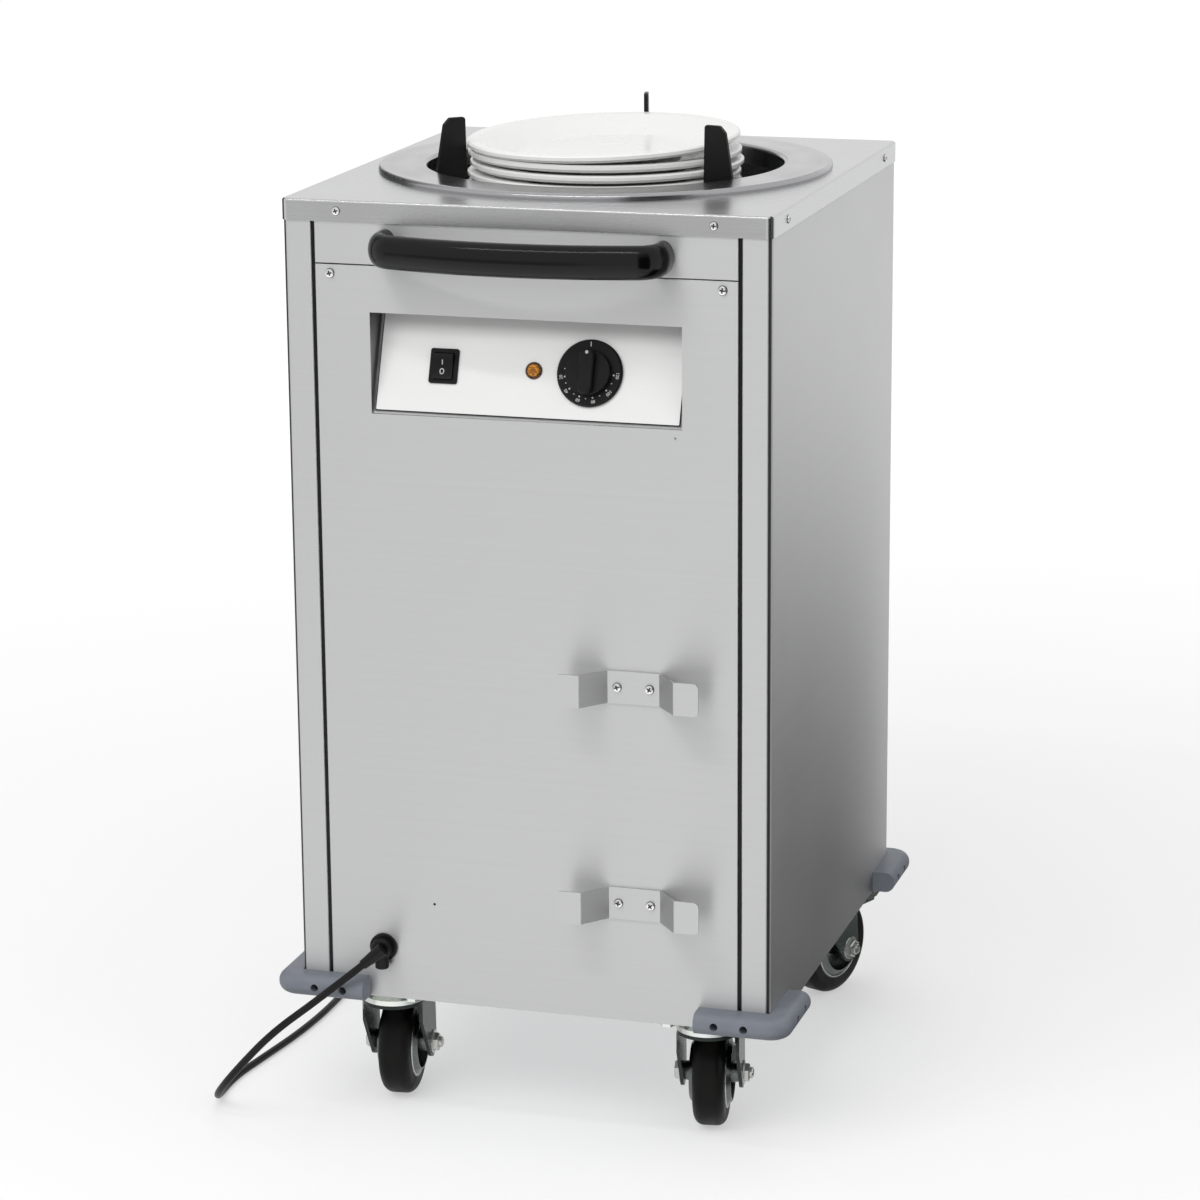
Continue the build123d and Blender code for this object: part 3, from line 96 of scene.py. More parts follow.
# Screws: places from the middle of the cabinet, and each head's radius and height.
PANEL_SCREW_X, PANEL_SCREW_Z = 180.0, 801.5
REAR_SCREW_ROWS = (185.0, 494.9, 804.8)
PANEL_HEAD = (4.0, 2.4)
FLANGE_SCREW_X, FLANGE_SCREW_Z = 172.5, WORKTOP_TOP - 9.65
FLANGE_SIDE_X, FLANGE_SIDE_Y = 225.0, 190.0
FLANGE_HEAD = (3.6, 2.0)
HOOK_X, HOOK_SCREW_X, HOOK_SHEET = 98.3, 15.0, 1.5
HOOK_SCREW_ROWS = (440.0, 237.5)
HOOK_HEAD = (4.0, 2.4)
FIRST_TURN, TURN_STEP = 17, 67

# Shares of a screw head's radius and height: its cross, its dome, its edge, and the painted shade
# in it.
CROSS_ARM, CROSS_HALF, CROSS_TAPER = 0.6, 0.18, 0.8
CROSS_FLOOR, CROSS_TIP = 0.1, 0.05
DOME_DROP, DOME_POWER, DOME_RINGS = 0.42, 2.4, (0.68, 0.84, 0.94)
EDGE_RINGS = ((0.99, 0.46), (1.0, 0.3), (1.0, 0.0))
SHADE_ARM, SHADE_HALF, SHADE_LEVEL = 0.54, 0.15, 0.62
JOINT_RINGS = ((1.0, 0.25), (1.1, 0.04))

# Casters: how far each is turned, and turned sections as (radius, height) pairs.
CASTER_TURNS = {"front_left": 6.5, "front_right": 9.0, "rear_left": 38.0, "rear_right": -22.0}
FORK_FACE = 29.0
BEAD_RADIUS, BEAD_LEVEL, BEAD_THICK = 32.4, 15.0, 0.8
WASHER = ((0.0, 0.0), (11.4, 0.0), (11.4, 0.9), (11.0, 1.3), (0.0, 1.3))
NUT = ((9.1, 1.3), (9.1, 5.2), (7.9, 6.0))
BOLT_END = ((0.0, 5.9), (5.3, 5.9), (5.3, 8.0), (4.6, 9.1), (2.8, 9.8), (0.0, 10.0))

# Printed marks: circles and angles of the dial's, places of the rocker's, and how ink is laid.
NUMBER_CIRCLE, NUMBER_HEIGHT = 25.9, 2.9
NUMBER_DOT_CIRCLE, NUMBER_DOT = 22.5, 0.85
SMALL_DOT_CIRCLE, SMALL_DOT = 22.9, 0.55
OFF_MARK_ANGLE, OFF_MARK_CIRCLE = 91.5, 25.6
POINTER_DOT_Y, POINTER_DOT = 16.4, 1.5
STROKE, STROKE_HEIGHT = 0.9, 4.2
ON_MARK_PLACE, OFF_MARK_PLACE = (-0.6, 2.9), (-0.6, -5.2)
OFF_MARK_WIDTH, OFF_MARK_HEIGHT = 4.4, 5.6
FACE_SIZE, FACE_WEIGHT = 1.38, 0.02
NUMBER_ANGLES = (
    (-169, "20"), (-138.5, "40"), (-108.6, "60"), (-77, "80"), (-41, "100"), (-3, "120"),
)
SMALL_DOT_ANGLES = (-154, -122.7, -93, -60, -22, 173)
INK_LIFT = 0.07
INK_DROP = 60.0

# Mains cord, its coil of spare turns, and the twist tie round them.
CORD_RADIUS = 3.5
CORD_FLOOR = CORD_RADIUS + 0.1
COIL_RADIUS = 42.0
COIL_INNER, COIL_OUTER = 38.4, 45.6
COIL_LOW, COIL_HIGH = CORD_FLOOR + 0.5, CORD_FLOOR + 7.7
COIL_STEPS = 54
TURNS_IN, TURNS_UP, TURNS_OUT = (300, 360), (600, 660), (900, 960)
COIL_SWELL = 0.981
PLUG_ENTRY_Z = 12.5
TIE_ANGLE = 20.0
TIE_HALF_WIDTH, TIE_HALF_HEIGHT, TIE_HALF_LENGTH = 7.6, 7.55, 2.0
TIE_INSIDE, TIE_OUTSIDE = -0.1, 0.45
TIE_SQUARE = 3.4
TWIST_WIRE, TWIST_REACH, TWIST_STEPS = 0.5, 9.0, 12
TWIST_RADIUS, TWIST_SPLAY, TWIST_SPLAY_FROM = 0.55, 1.6, 0.9
TWIST_START, TWIST_RISE = 0.4, 3.0


def mm(*place):
    """A place given in millimetres, as a vector in metres."""
    return Vector(place) * MM


def clear_bench():
    """Leaves nothing on the bench but the cabinet's own nodes and bodies."""
    kept = set(frame["nodes"].values()) | set(frame["bodies"].values())
    for thing in [o for o in bpy.data.objects if o not in kept]:
        bpy.data.objects.remove(thing, do_unlink=True)


clear_bench()
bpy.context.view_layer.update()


# ------------------------------------------------------------------ colours
def colour(code):
    """Linear colour from a hex code such as d0d0d0."""
    parts = [int(code[i : i + 2], 16) / 255 for i in (0, 2, 4)]
    return tuple(c / 12.92 if c <= 0.04045 else ((c + 0.055) / 1.055) ** 2.4 for c in parts)


# ------------------------------------------------------------------ node groups
# Sockets of a Mix node that mixes colours.
MIX_MASK, MIX_LOW, MIX_HIGH, MIX_RESULT = 0, 6, 7, 2


def new_group(name, inputs, outputs):
    """An empty shader group with its named sockets."""
    group = bpy.data.node_groups.new(name, "ShaderNodeTree")
    for label, kind, value in inputs:
        socket = group.interface.new_socket(label, in_out="INPUT", socket_type=kind)
        if value is not None:
            socket.default_value = value
    for label, kind in outputs:
        group.interface.new_socket(label, in_out="OUTPUT", socket_type=kind)
    return group, group.nodes.new("NodeGroupInput"), group.nodes.new("NodeGroupOutput")


def add(tree, kind, values=(), **settings):
    """A node with its settings, and the values of its sockets by name or number."""
    made = tree.nodes.new(kind)
    for name, value in settings.items():
        setattr(made, name, value)
    for name, value in dict(values).items():
        made.inputs[name].default_value = value
    return made


def join(tree, source, target):
    """Links one socket to another."""
    tree.links.new(source, target)


def feed(tree, source, target):
    """Gives a socket its value from another socket, or a plain value."""
    if isinstance(source, bpy.types.NodeSocket):
        join(tree, source, target)
    else:
        target.default_value = source


def maths(tree, operation, *sources):
    """A maths node on sockets or plain numbers."""
    made = add(tree, "ShaderNodeMath", operation=operation)
    for number, source in enumerate(sources):
        feed(tree, source, made.inputs[number])
    return made.outputs[0]


def vectors(tree, operation, *sources):
    """A vector maths node on sockets or plain vectors."""
    made = add(tree, "ShaderNodeVectorMath", operation=operation)
    for number, source in enumerate(sources):
        feed(tree, source, made.inputs[number])
    return made.outputs["Value" if operation == "LENGTH" else "Vector"]


def noise(tree, vector, scale, detail=2.0, rough=0.5, dimensions="3D"):
    """Cloud noise between 0 and 1, along a line or in space."""
    values = {"Detail": detail, "Roughness": rough}
    made = add(tree, "ShaderNodeTexNoise", values, noise_dimensions=dimensions)
    feed(tree, scale, made.inputs["Scale"])
    join(tree, vector, made.inputs["W" if dimensions == "1D" else "Vector"])
    return made.outputs["Fac"]


def mixed(tree, mask, low, high):
    """Colour from low to high by a mask; each end is a socket or a colour."""
    made = add(tree, "ShaderNodeMix", data_type="RGBA")
    join(tree, mask, made.inputs[MIX_MASK])
    feed(tree, low, made.inputs[MIX_LOW])
    feed(tree, high, made.inputs[MIX_HIGH])
    return made.outputs[MIX_RESULT]


def spread(tree, source, low, high, to_low=0.0, to_high=1.0):
    """Stretches a mask from low..high to to_low..to_high and clamps it."""
    made = add(tree, "ShaderNodeMapRange")
    join(tree, source, made.inputs["Value"])
    ends = {"From Min": low, "From Max": high, "To Min": to_low, "To Max": to_high}
    for label, value in ends.items():
        made.inputs[label].default_value = value
    return made.outputs["Result"]


def group_rolled_grain():
    """Fine parallel lines that a belt leaves on a sheet, and the wider streaks among them."""
    group, given, out = new_group(
        "rolled_grain",
        [("Vector", "NodeSocketVector", None), ("Lines", "NodeSocketVector", (8, 8, 1500))],
        [("Height", "NodeSocketFloat"), ("Streak", "NodeSocketFloat")],
    )
    fine = vectors(group, "MULTIPLY", given.outputs["Vector"], given.outputs["Lines"])
    wide = vectors(group, "MULTIPLY", fine, (0.13, 0.13, 0.13))
    join(group, noise(group, fine, 1.0, 3.0, 0.65), out.inputs["Height"])
    streak = noise(group, wide, 1.0, 2.0)
    join(group, spread(group, streak, 0.3, 0.7), out.inputs["Streak"])
    return group


def group_handling_marks():
    """Slow cloudy change over a surface, from polishing and handling."""
    group, given, out = new_group(
        "handling_marks",
        [("Vector", "NodeSocketVector", None), ("Size", "NodeSocketFloat", 9.0)],
        [("Cloud", "NodeSocketFloat"), ("Speckle", "NodeSocketFloat")],
    )
    cloud = noise(group, given.outputs["Vector"], given.outputs["Size"], 3.0, 0.55)
    finer = maths(group, "MULTIPLY", given.outputs["Size"], 14.0)
    speckle = noise(group, given.outputs["Vector"], finer, 2.0, 0.6)
    join(group, spread(group, cloud, 0.3, 0.7), out.inputs["Cloud"])
    join(group, spread(group, speckle, 0.3, 0.7), out.inputs["Speckle"])
    return group


def group_spun_rings():
    """Tool rings round an upright axis, as spinning and turning leave them."""
    group, given, out = new_group(
        "spun_rings",
        [
            ("Vector", "NodeSocketVector", None),
            ("Axis", "NodeSocketVector", (0.0, 0.0, 0.0)),
            ("Rings", "NodeSocketFloat", 900.0),
        ],
        [("Height", "NodeSocketFloat"), ("Shade", "NodeSocketFloat")],
    )
    away = vectors(group, "SUBTRACT", given.outputs["Vector"], given.outputs["Axis"])
    flat = vectors(group, "MULTIPLY", away, (1.0, 1.0, 0.0))
    rings = maths(group, "MULTIPLY", vectors(group, "LENGTH", flat), given.outputs["Rings"])
    slower = maths(group, "MULTIPLY", rings, 0.12)
    join(group, noise(group, rings, 1.0, 2.0, 0.6, "1D"), out.inputs["Height"])
    shade = noise(group, slower, 1.0, 1.0, 0.5, "1D")
    join(group, spread(group, shade, 0.3, 0.7), out.inputs["Shade"])
    return group


def group_moulded_skin():
    """Fine pebbled skin of moulded plastic and rubber."""
    group, given, out = new_group(
        "moulded_skin",
        [("Vector", "NodeSocketVector", None), ("Grain", "NodeSocketFloat", 900.0)],
        [("Height", "NodeSocketFloat"), ("Sheen", "NodeSocketFloat")],
    )
    cells = add(group, "ShaderNodeTexVoronoi", feature="SMOOTH_F1")
    join(group, given.outputs["Vector"], cells.inputs["Vector"])
    join(group, given.outputs["Grain"], cells.inputs["Scale"])
    rumple = noise(group, given.outputs["Vector"], given.outputs["Grain"], 3.0, 0.6)
    blend = maths(group, "MULTIPLY_ADD", cells.outputs["Distance"], 0.6, rumple)
    join(group, blend, out.inputs["Height"])
    slow = maths(group, "MULTIPLY", given.outputs["Grain"], 0.03)
    sheen = noise(group, given.outputs["Vector"], slow, 2.0)
    join(group, spread(group, sheen, 0.3, 0.7), out.inputs["Sheen"])
    return group


def group_settled_dust():
    """Mask of dust on what faces up, broken up by noise."""
    group, given, out = new_group(
        "settled_dust",
        [("Vector", "NodeSocketVector", None), ("Amount", "NodeSocketFloat", 0.3)],
        [("Mask", "NodeSocketFloat")],
    )
    facing = add(group, "ShaderNodeNewGeometry")
    parts = add(group, "ShaderNodeSeparateXYZ")
    join(group, facing.outputs["Normal"], parts.inputs[0])
    upward = spread(group, parts.outputs["Z"], 0.1, 0.9)
    patches = spread(group, noise(group, given.outputs["Vector"], 60.0, 5.0, 0.7), 0.35, 0.75)
    mask = maths(group, "MULTIPLY", upward, patches)
    join(group, maths(group, "MULTIPLY", mask, given.outputs["Amount"]), out.inputs["Mask"])
    return group


def group_plating_bloom():
    """Drifting tint of zinc plating between two colours, with its spangle."""
    group, given, out = new_group(
        "plating_bloom",
        [
            ("Vector", "NodeSocketVector", None),
            ("Spangle", "NodeSocketFloat", 120.0),
            ("Cool", "NodeSocketColor", (0.60, 0.68, 0.70, 1)),
            ("Straw", "NodeSocketColor", (0.72, 0.70, 0.58, 1)),
        ],
        [("Color", "NodeSocketColor"), ("Facet", "NodeSocketFloat")],
    )
    drift = spread(group, noise(group, given.outputs["Vector"], 22.0, 3.0), 0.35, 0.65)
    tint = mixed(group, drift, given.outputs["Cool"], given.outputs["Straw"])
    join(group, tint, out.inputs["Color"])
    cells = add(group, "ShaderNodeTexVoronoi")
    join(group, given.outputs["Vector"], cells.inputs["Vector"])
    join(group, given.outputs["Spangle"], cells.inputs["Scale"])
    lone = add(group, "ShaderNodeSeparateColor")
    join(group, cells.outputs["Color"], lone.inputs[0])
    join(group, lone.outputs[0], out.inputs["Facet"])
    return group


GROUPS = {
    "rolled_grain": group_rolled_grain(),
    "handling_marks": group_handling_marks(),
    "spun_rings": group_spun_rings(),
    "moulded_skin": group_moulded_skin(),
    "settled_dust": group_settled_dust(),
    "plating_bloom": group_plating_bloom(),
}


# ------------------------------------------------------------------ materials
# Shares of their colour that sheets keep under painted shade on their front folds and in the
# control recess, and how often a sheet's grain changes along x, y and z, per metre.
FOLD_PAINTED_SHADE, RECESS_PAINTED_SHADE = 0.12, 0.5
UPRIGHT_GRAIN = (5.0, 5.0, 1500.0)
LYING_GRAIN = (4.0, 3600.0, 3600.0)


def new_finish(name, base, rough, metal=0.0, **fixed):
    """A material with its shader's own constants, and the object coordinates it is patterned by."""
    material = bpy.data.materials.new(name)
    material.use_nodes = True
    tree = material.node_tree
    shader = tree.nodes["Principled BSDF"]
    shader.inputs["Base Color"].default_value = (*base, 1.0)
    shader.inputs["Roughness"].default_value = rough
    shader.inputs["Metallic"].default_value = metal
    for label, value in fixed.items():
        shader.inputs[label.replace("_", " ")].default_value = value
    place = add(tree, "ShaderNodeTexCoord").outputs["Object"]
    material.diffuse_color = (*base, 1.0)
    return material, tree, shader, place


def place_group(tree, name, vector, **values):
    """A group laid into a material, read from the given coordinates."""
    made = add(tree, "ShaderNodeGroup", node_tree=GROUPS[name])
    join(tree, vector, made.inputs["Vector"])
    for label, value in values.items():
        made.inputs[label].default_value = value
    return made


def colour_between(tree, shader, mask, low, high):
    """Base colour from low to high by a mask."""
    tint = mixed(tree, mask, (*low, 1.0), (*high, 1.0))
    join(tree, tint, shader.inputs["Base Color"])
    return tint


def rough_between(tree, shader, mask, low, high):
    """Roughness from low to high by a mask."""
    join(tree, spread(tree, mask, 0.0, 1.0, low, high), shader.inputs["Roughness"])


def bump_from(tree, shader, height, distance, strength):
    """Bump from a height mask, distance in millimetres."""
    bump = add(tree, "ShaderNodeBump")
    bump.inputs["Strength"].default_value = strength
    bump.inputs["Distance"].default_value = distance * MM
    join(tree, height, bump.inputs["Height"])
    join(tree, bump.outputs["Normal"], shader.inputs["Normal"])


def dim(base, share):
    """A colour made darker or lighter by a share."""
    return tuple(c * share for c in base)


def beyond(tree, place, axis, limit, both_ways=False):
    """1 where a coordinate is past a limit in millimetres, or past it either way."""
    parts = add(tree, "ShaderNodeSeparateXYZ")
    join(tree, place, parts.inputs[0])
    value = parts.outputs[axis]
    if both_ways:
        value = maths(tree, "ABSOLUTE", value)
    return spread(tree, value, (limit - FADE) * MM, limit * MM)


def brushed_stainless(name, base, rough, lines=UPRIGHT_GRAIN, streak=0.045, smear=0.9,
                      grain_depth=0.35, fold_at=None, sill=None):
    """Brushed stainless sheet whose grain runs across the quickly changing axis of lines.

    The sheet is darkened along its upright front folds, and above a sill, where given: painted
    shade.
    """
    material, tree, shader, place = new_finish(
        name, base, rough, 1.0, Anisotropic=smear, Anisotropic_Rotation=0.25
    )
    grain = place_group(tree, "rolled_grain", place, Lines=lines)
    marks = place_group(tree, "handling_marks", place, Size=7.0)
    cloud = maths(tree, "MULTIPLY", marks.outputs["Cloud"], 0.6)
    tone = maths(tree, "MULTIPLY_ADD", grain.outputs["Streak"], 0.4, cloud)
    tint = colour_between(tree, shader, tone, dim(base, 1 - streak), dim(base, 1 + streak))
    mask, share = None, 1.0
    # Painted shade: dark along the upright front folds, or above the sill in the control recess.
    if fold_at:
        outer = beyond(tree, place, "X", fold_at, True)
        front = maths(tree, "SUBTRACT", 1.0, beyond(tree, place, "Y", FRONT_Y + FOLD_DEPTH))
        mask, share = maths(tree, "MULTIPLY", outer, front), FOLD_PAINTED_SHADE
    elif sill:
        mask, share = beyond(tree, place, "Z", sill), RECESS_PAINTED_SHADE
    if mask:
        darker = mixed(tree, mask, tint, (*dim(base, share), 1.0))
        join(tree, darker, shader.inputs["Base Color"])
    rough_between(tree, shader, tone, rough - 0.03, rough + 0.04)
    bump_from(tree, shader, grain.outputs["Height"], 0.012, grain_depth)
    return material


def polished_stainless():
    """Spun and polished ring of the well."""
    base = (0.37, 0.37, 0.38)
    material, tree, shader, place = new_finish("polished_ring", base, 0.2, 1.0, Anisotropic=0.5)
    rings = place_group(tree, "spun_rings", place, Axis=mm(0, WELL_Y, 0), Rings=700.0)
    marks = place_group(tree, "handling_marks", place, Size=16.0)
    colour_between(tree, shader, rings.outputs["Shade"], dim(base, 0.95), dim(base, 1.04))
    rough_between(tree, shader, marks.outputs["Cloud"], 0.17, 0.24)
    bump_from(tree, shader, rings.outputs["Height"], 0.01, 0.3)
    return material


def surface(name, base, rough, tint, gloss, dent=None, metal=0.0, marks=None, skin=None,
            dust=None, **fixed):
    """A material that the masks of its groups tint, roughen and dent.

    marks, skin and dust are the values of the groups it uses. tint and gloss name a mask and its
    two ends, a tint's as colours or as shares of the base; dent names a mask, its depth in
    millimetres and its strength.
    """
    material, tree, shader, place = new_finish(name, base, rough, metal, **fixed)
    masks = {}
    for group, label, value in (
        ("handling_marks", "Size", marks), ("moulded_skin", "Grain", skin),
        ("settled_dust", "Amount", dust),
    ):
        if value is not None:
            masks.update(place_group(tree, group, place, **{label: value}).outputs.items())
    mask, *ends = tint
    ends = [end if isinstance(end, tuple) else dim(base, end) for end in ends]
    colour_between(tree, shader, masks[mask], *ends)
    mask, *ends = gloss
    rough_between(tree, shader, masks[mask], *ends)
    if dent:
        mask, depth, strength = dent
        bump_from(tree, shader, masks[mask], depth, strength)
    return material


def black_plastic(name, base, rough, grain, dust, shine):
    """Moulded black plastic, from glossy to matte by its roughness and grain."""
    return surface(
        name, base, rough, ("Mask", 1.0, colour("8b8782")), ("Sheen", rough * 0.88, rough * 1.14),
        ("Height", 0.05, 0.5), skin=grain, dust=dust, Specular_IOR_Level=shine,
    )


def zinc_plated(name, cool, straw):
    """Zinc plating of the caster steelwork, with its drifting tint."""
    material, tree, shader, place = new_finish(name, cool, 0.28, 1.0)
    bloom = place_group(tree, "plating_bloom", place, Spangle=260.0)
    bloom.inputs["Cool"].default_value = (*cool, 1)
    bloom.inputs["Straw"].default_value = (*straw, 1)
    marks = place_group(tree, "handling_marks", place, Size=60.0)
    join(tree, bloom.outputs["Color"], shader.inputs["Base Color"])
    rough_between(tree, shader, marks.outputs["Cloud"], 0.2, 0.36)
    bump_from(tree, shader, marks.outputs["Speckle"], 0.03, 0.4)
    return material


def galvanised():
    """Spangled galvanised sheet of the hidden parts."""
    material, tree, shader, place = new_finish("galvanised_steel", (0.5, 0.52, 0.53), 0.42, 1.0)
    bloom = place_group(tree, "plating_bloom", place, Spangle=90.0)
    bloom.inputs["Cool"].default_value = (0.52, 0.55, 0.57, 1)
    bloom.inputs["Straw"].default_value = (0.44, 0.46, 0.47, 1)
    join(tree, bloom.outputs["Color"], shader.inputs["Base Color"])
    rough_between(tree, shader, bloom.outputs["Facet"], 0.34, 0.52)
    bump_from(tree, shader, bloom.outputs["Facet"], 0.02, 0.2)
    return material


def amber(name, low, high, rough):
    """Amber lamp plastic, lighter in the middle of its cells."""
    material, tree, shader, place = new_finish(
        name, high, rough, 0.0, Coat_Weight=0.15, Coat_Roughness=0.05, Specular_IOR_Level=0.3
    )
    cells = add(tree, "ShaderNodeTexVoronoi", {"Scale": 520.0})
    join(tree, place, cells.inputs["Vector"])
    colour_between(tree, shader, spread(tree, cells.outputs["Distance"], 0.1, 0.7), high, low)
    marks = place_group(tree, "handling_marks", place, Size=90.0)
    rough_between(tree, shader, marks.outputs["Cloud"], rough * 0.8, rough * 1.3)
    bump_from(tree, shader, cells.outputs["Distance"], 0.25, 0.6)
    return material


SURFACES = {
    # Baked white finish of the control plate.
    "control_white": dict(
        base=colour("f0f0ef"), rough=0.38, marks=12.0, skin=1400.0, Coat_Roughness=0.3,
        tint=("Cloud", 0.97, 1.0), gloss=("Sheen", 0.34, 0.44), dent=("Height", 0.02, 0.4),
    ),
    # Blue-grey bumper plastic, a little scuffed.
    "bumper_grey": dict(
        base=colour("7d828b"), rough=0.5, marks=26.0, skin=650.0,
        tint=("Cloud", 0.9, 1.07), gloss=("Speckle", 0.44, 0.58), dent=("Height", 0.06, 0.5),
    ),
    # Zinc of the front forks, darkened almost to black with a green cast: painted shade under the
    # cabinet.
    "front_fork_shaded_zinc": dict(
        base=(0.014, 0.02, 0.018), rough=0.25, marks=60.0, Specular_IOR_Level=0.2,
        tint=("Cloud", 1.0, (0.035, 0.05, 0.045)), gloss=("Speckle", 0.18, 0.32),
        dent=("Speckle", 0.03, 0.4),
    ),
    # White glazed plates.
    "china": dict(
        base=colour("efefed"), rough=0.3, marks=14.0, Coat_Weight=0.2, Coat_Roughness=0.12,
        tint=("Cloud", 0.996, 1.0), gloss=("Cloud", 0.27, 0.28),
    ),
    # Solid rubber tyre with a dusty tread.
    "tyre_rubber": dict(
        base=colour("080808"), rough=0.45, marks=40.0, skin=500.0, Specular_IOR_Level=0.15,
        tint=("Cloud", 1.0, colour("141312")), gloss=("Cloud", 0.36, 0.62),
        dent=("Height", 0.08, 0.5),
    ),
    # Bright pressed wheel centre.
    "hub_grey": dict(
        base=(0.17, 0.18, 0.18), rough=0.3, metal=1.0, marks=70.0,
        tint=("Cloud", 0.82, 1.0), gloss=("Speckle", 0.22, 0.38), dent=("Speckle", 0.03, 0.4),
    ),
    # Oiled bronze of the carriage bushes.
    "bronze": dict(
        base=(0.42, 0.25, 0.11), rough=0.38, metal=1.0, marks=90.0,
        tint=("Speckle", 0.7, 1.15), gloss=("Cloud", 0.3, 0.48), dent=("Speckle", 0.05, 0.4),
    ),
    # Bright stainless screws, and the painted shade in their recesses and round their heads.
    "screw_steel": dict(
        base=(0.7, 0.7, 0.7), rough=0.15, metal=1.0, marks=120.0,
        tint=("Cloud", 0.86, 1.0), gloss=("Speckle", 0.14, 0.28), dent=("Speckle", 0.02, 0.3),
    ),
    "screw_shade": dict(
        base=(0.03, 0.03, 0.03), rough=0.6, marks=200.0,
        tint=("Cloud", 0.7, 1.6), gloss=("Speckle", 0.5, 0.8),
    ),
    # Heat-browned steel sheath of the heating element.
    "heater_sheath": dict(
        base=(0.16, 0.13, 0.11), rough=0.5, metal=1.0, marks=55.0,
        tint=("Cloud", (0.09, 0.08, 0.08), (0.26, 0.2, 0.15)), gloss=("Speckle", 0.4, 0.62),
        dent=("Speckle", 0.04, 0.4),
    ),
    # Black rubber jacket of the mains cord.
    "cord_jacket": dict(
        base=colour("0c0c0c"), rough=0.45, skin=1100.0, dust=0.12, Specular_IOR_Level=0.2,
        tint=("Mask", 1.0, colour("77736d")), gloss=("Sheen", 0.38, 0.52),
        dent=("Height", 0.03, 0.4),
    ),
    # White ink of the printed marks.
    "mark_white": dict(
        base=colour("c4c4c0"), rough=0.5, marks=200.0,
        tint=("Speckle", 0.8, 1.0), gloss=("Cloud", 0.42, 0.6),
    ),
}
STAINLESS = (0.575, 0.577, 0.58)
FINISH = {
    "stainless_sheet": brushed_stainless("stainless_sheet", STAINLESS, 0.5),
    # Side panels and worktop are darkened along their upright front folds: painted shade.
    "stainless_side": brushed_stainless("stainless_side", STAINLESS, 0.5, fold_at=221.0),
    # The control box is darkened above its sill: painted shade in the control recess.
    "stainless_box": brushed_stainless("stainless_box", STAINLESS, 0.5, sill=678.5),
    "stainless_top": brushed_stainless(
        "stainless_top", dim(STAINLESS, 0.9), 0.26, LYING_GRAIN,
        streak=0.03, smear=0.0, grain_depth=0.04, fold_at=222.0,
    ),
    "polished_ring": polished_stainless(),
    "black_plastic": black_plastic(
        "black_plastic", colour("060606"), rough=0.15, grain=160.0, dust=0.0, shine=0.24
    ),
    "matte_black_plastic": black_plastic(
        "matte_black_plastic", colour("0c0c0d"), rough=0.4, grain=900.0, dust=0.02, shine=0.2
    ),
    "guide_black": black_plastic(
        "guide_black", colour("0e0e0f"), rough=0.34, grain=700.0, dust=0.02, shine=0.25
    ),
    "amber_lens": amber("amber_lens", colour("8f5408"), colour("e39c28"), 0.16),
    "amber_rim": amber("amber_rim", colour("2b1706"), colour("6d4212"), 0.2),
    "zinc_plate": zinc_plated("zinc_plate", (0.56, 0.6, 0.6), (0.58, 0.6, 0.56)),
    # A darker copy of the zinc plating for the rear forks and brakes: painted shade under the
    # cabinet.
    "rear_caster_shaded_zinc": zinc_plated("rear_caster_shaded_zinc", (0.12, 0.15, 0.14), (0.19, 0.22, 0.2)),
    "bright_zinc": zinc_plated("bright_zinc", (0.5, 0.52, 0.52), (0.52, 0.52, 0.49)),
    "galvanised_steel": galvanised(),
}
FINISH.update({name: surface(name, **settings) for name, settings in SURFACES.items()})

# CAD nodes that wear another finish than the one named for their slot.
NODE_FINISH = {
    "front_left_guide": "guide_black",
    "front_right_guide": "guide_black",
    "rear_guide": "guide_black",
    "control_box": "stainless_box",
    "left_side_panel": "stainless_side",
    "right_side_panel": "stainless_side",
    "lamp_bezel": "amber_rim",
    "thermostat_knob": "matte_black_plastic",
    "rocker_switch": "matte_black_plastic",
    # Forks and brakes wear darker copies of the zinc plating: painted shade.
    "front_left_fork": "front_fork_shaded_zinc",
    "front_right_fork": "front_fork_shaded_zinc",
    "rear_left_fork": "rear_caster_shaded_zinc",
    "rear_right_fork": "rear_caster_shaded_zinc",
    "rear_left_brake": "rear_caster_shaded_zinc",
    "rear_right_brake": "rear_caster_shaded_zinc",
}


def dress_nodes():
    """Gives each CAD node its finish: the one named for its slot, or the one chosen above."""
    for name, thing in frame["nodes"].items():
        chosen = NODE_FINISH.get(name)
        for slot in thing.material_slots:
            slot.material = FINISH[chosen or slot.material.name.split(".")[0]]


# ------------------------------------------------------------------ making pieces
def new_thing(name, data):
    """An object in the scene from its data."""
    thing = bpy.data.objects.new(name, data)
    bpy.context.scene.collection.objects.link(thing)
    return thing


def new_piece(name, shape, finish, body):
    """A piece in the scene with its material and slot, riding on its body."""
    piece = new_thing(name, shape)
    piece.data.materials.clear()
    piece.data.materials.append(FINISH[finish])
    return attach(piece, body)


def plain_mesh(name, work):
    """The mesh that was worked on, as it is."""
    shape = bpy.data.meshes.new(name)
    work.to_mesh(shape)
    work.free()
    return shape


def mesh_of(name, work, smooth=40.0):
    """A finished mesh, smooth but for edges sharper than the given degrees."""
    bmesh.ops.recalc_face_normals(work, faces=work.faces)
    for face in work.faces:
        face.smooth = True
    for edge in work.edges:
        if len(edge.link_faces) == 2 and edge.calc_face_angle(0.0) > radians(smooth):
            edge.smooth = False
    return plain_mesh(name, work)


def standing(spot, out):
    """Matrix of a place in millimetres whose z looks along out and whose y looks up."""
    z = Vector(out).normalized()
    x = Vector((0, 0, 1)).cross(z).normalized()
    y = z.cross(x)
    turn = Matrix((x, y, z)).transposed().to_4x4()
    return Matrix.Translation(Vector(spot) * MM) @ turn


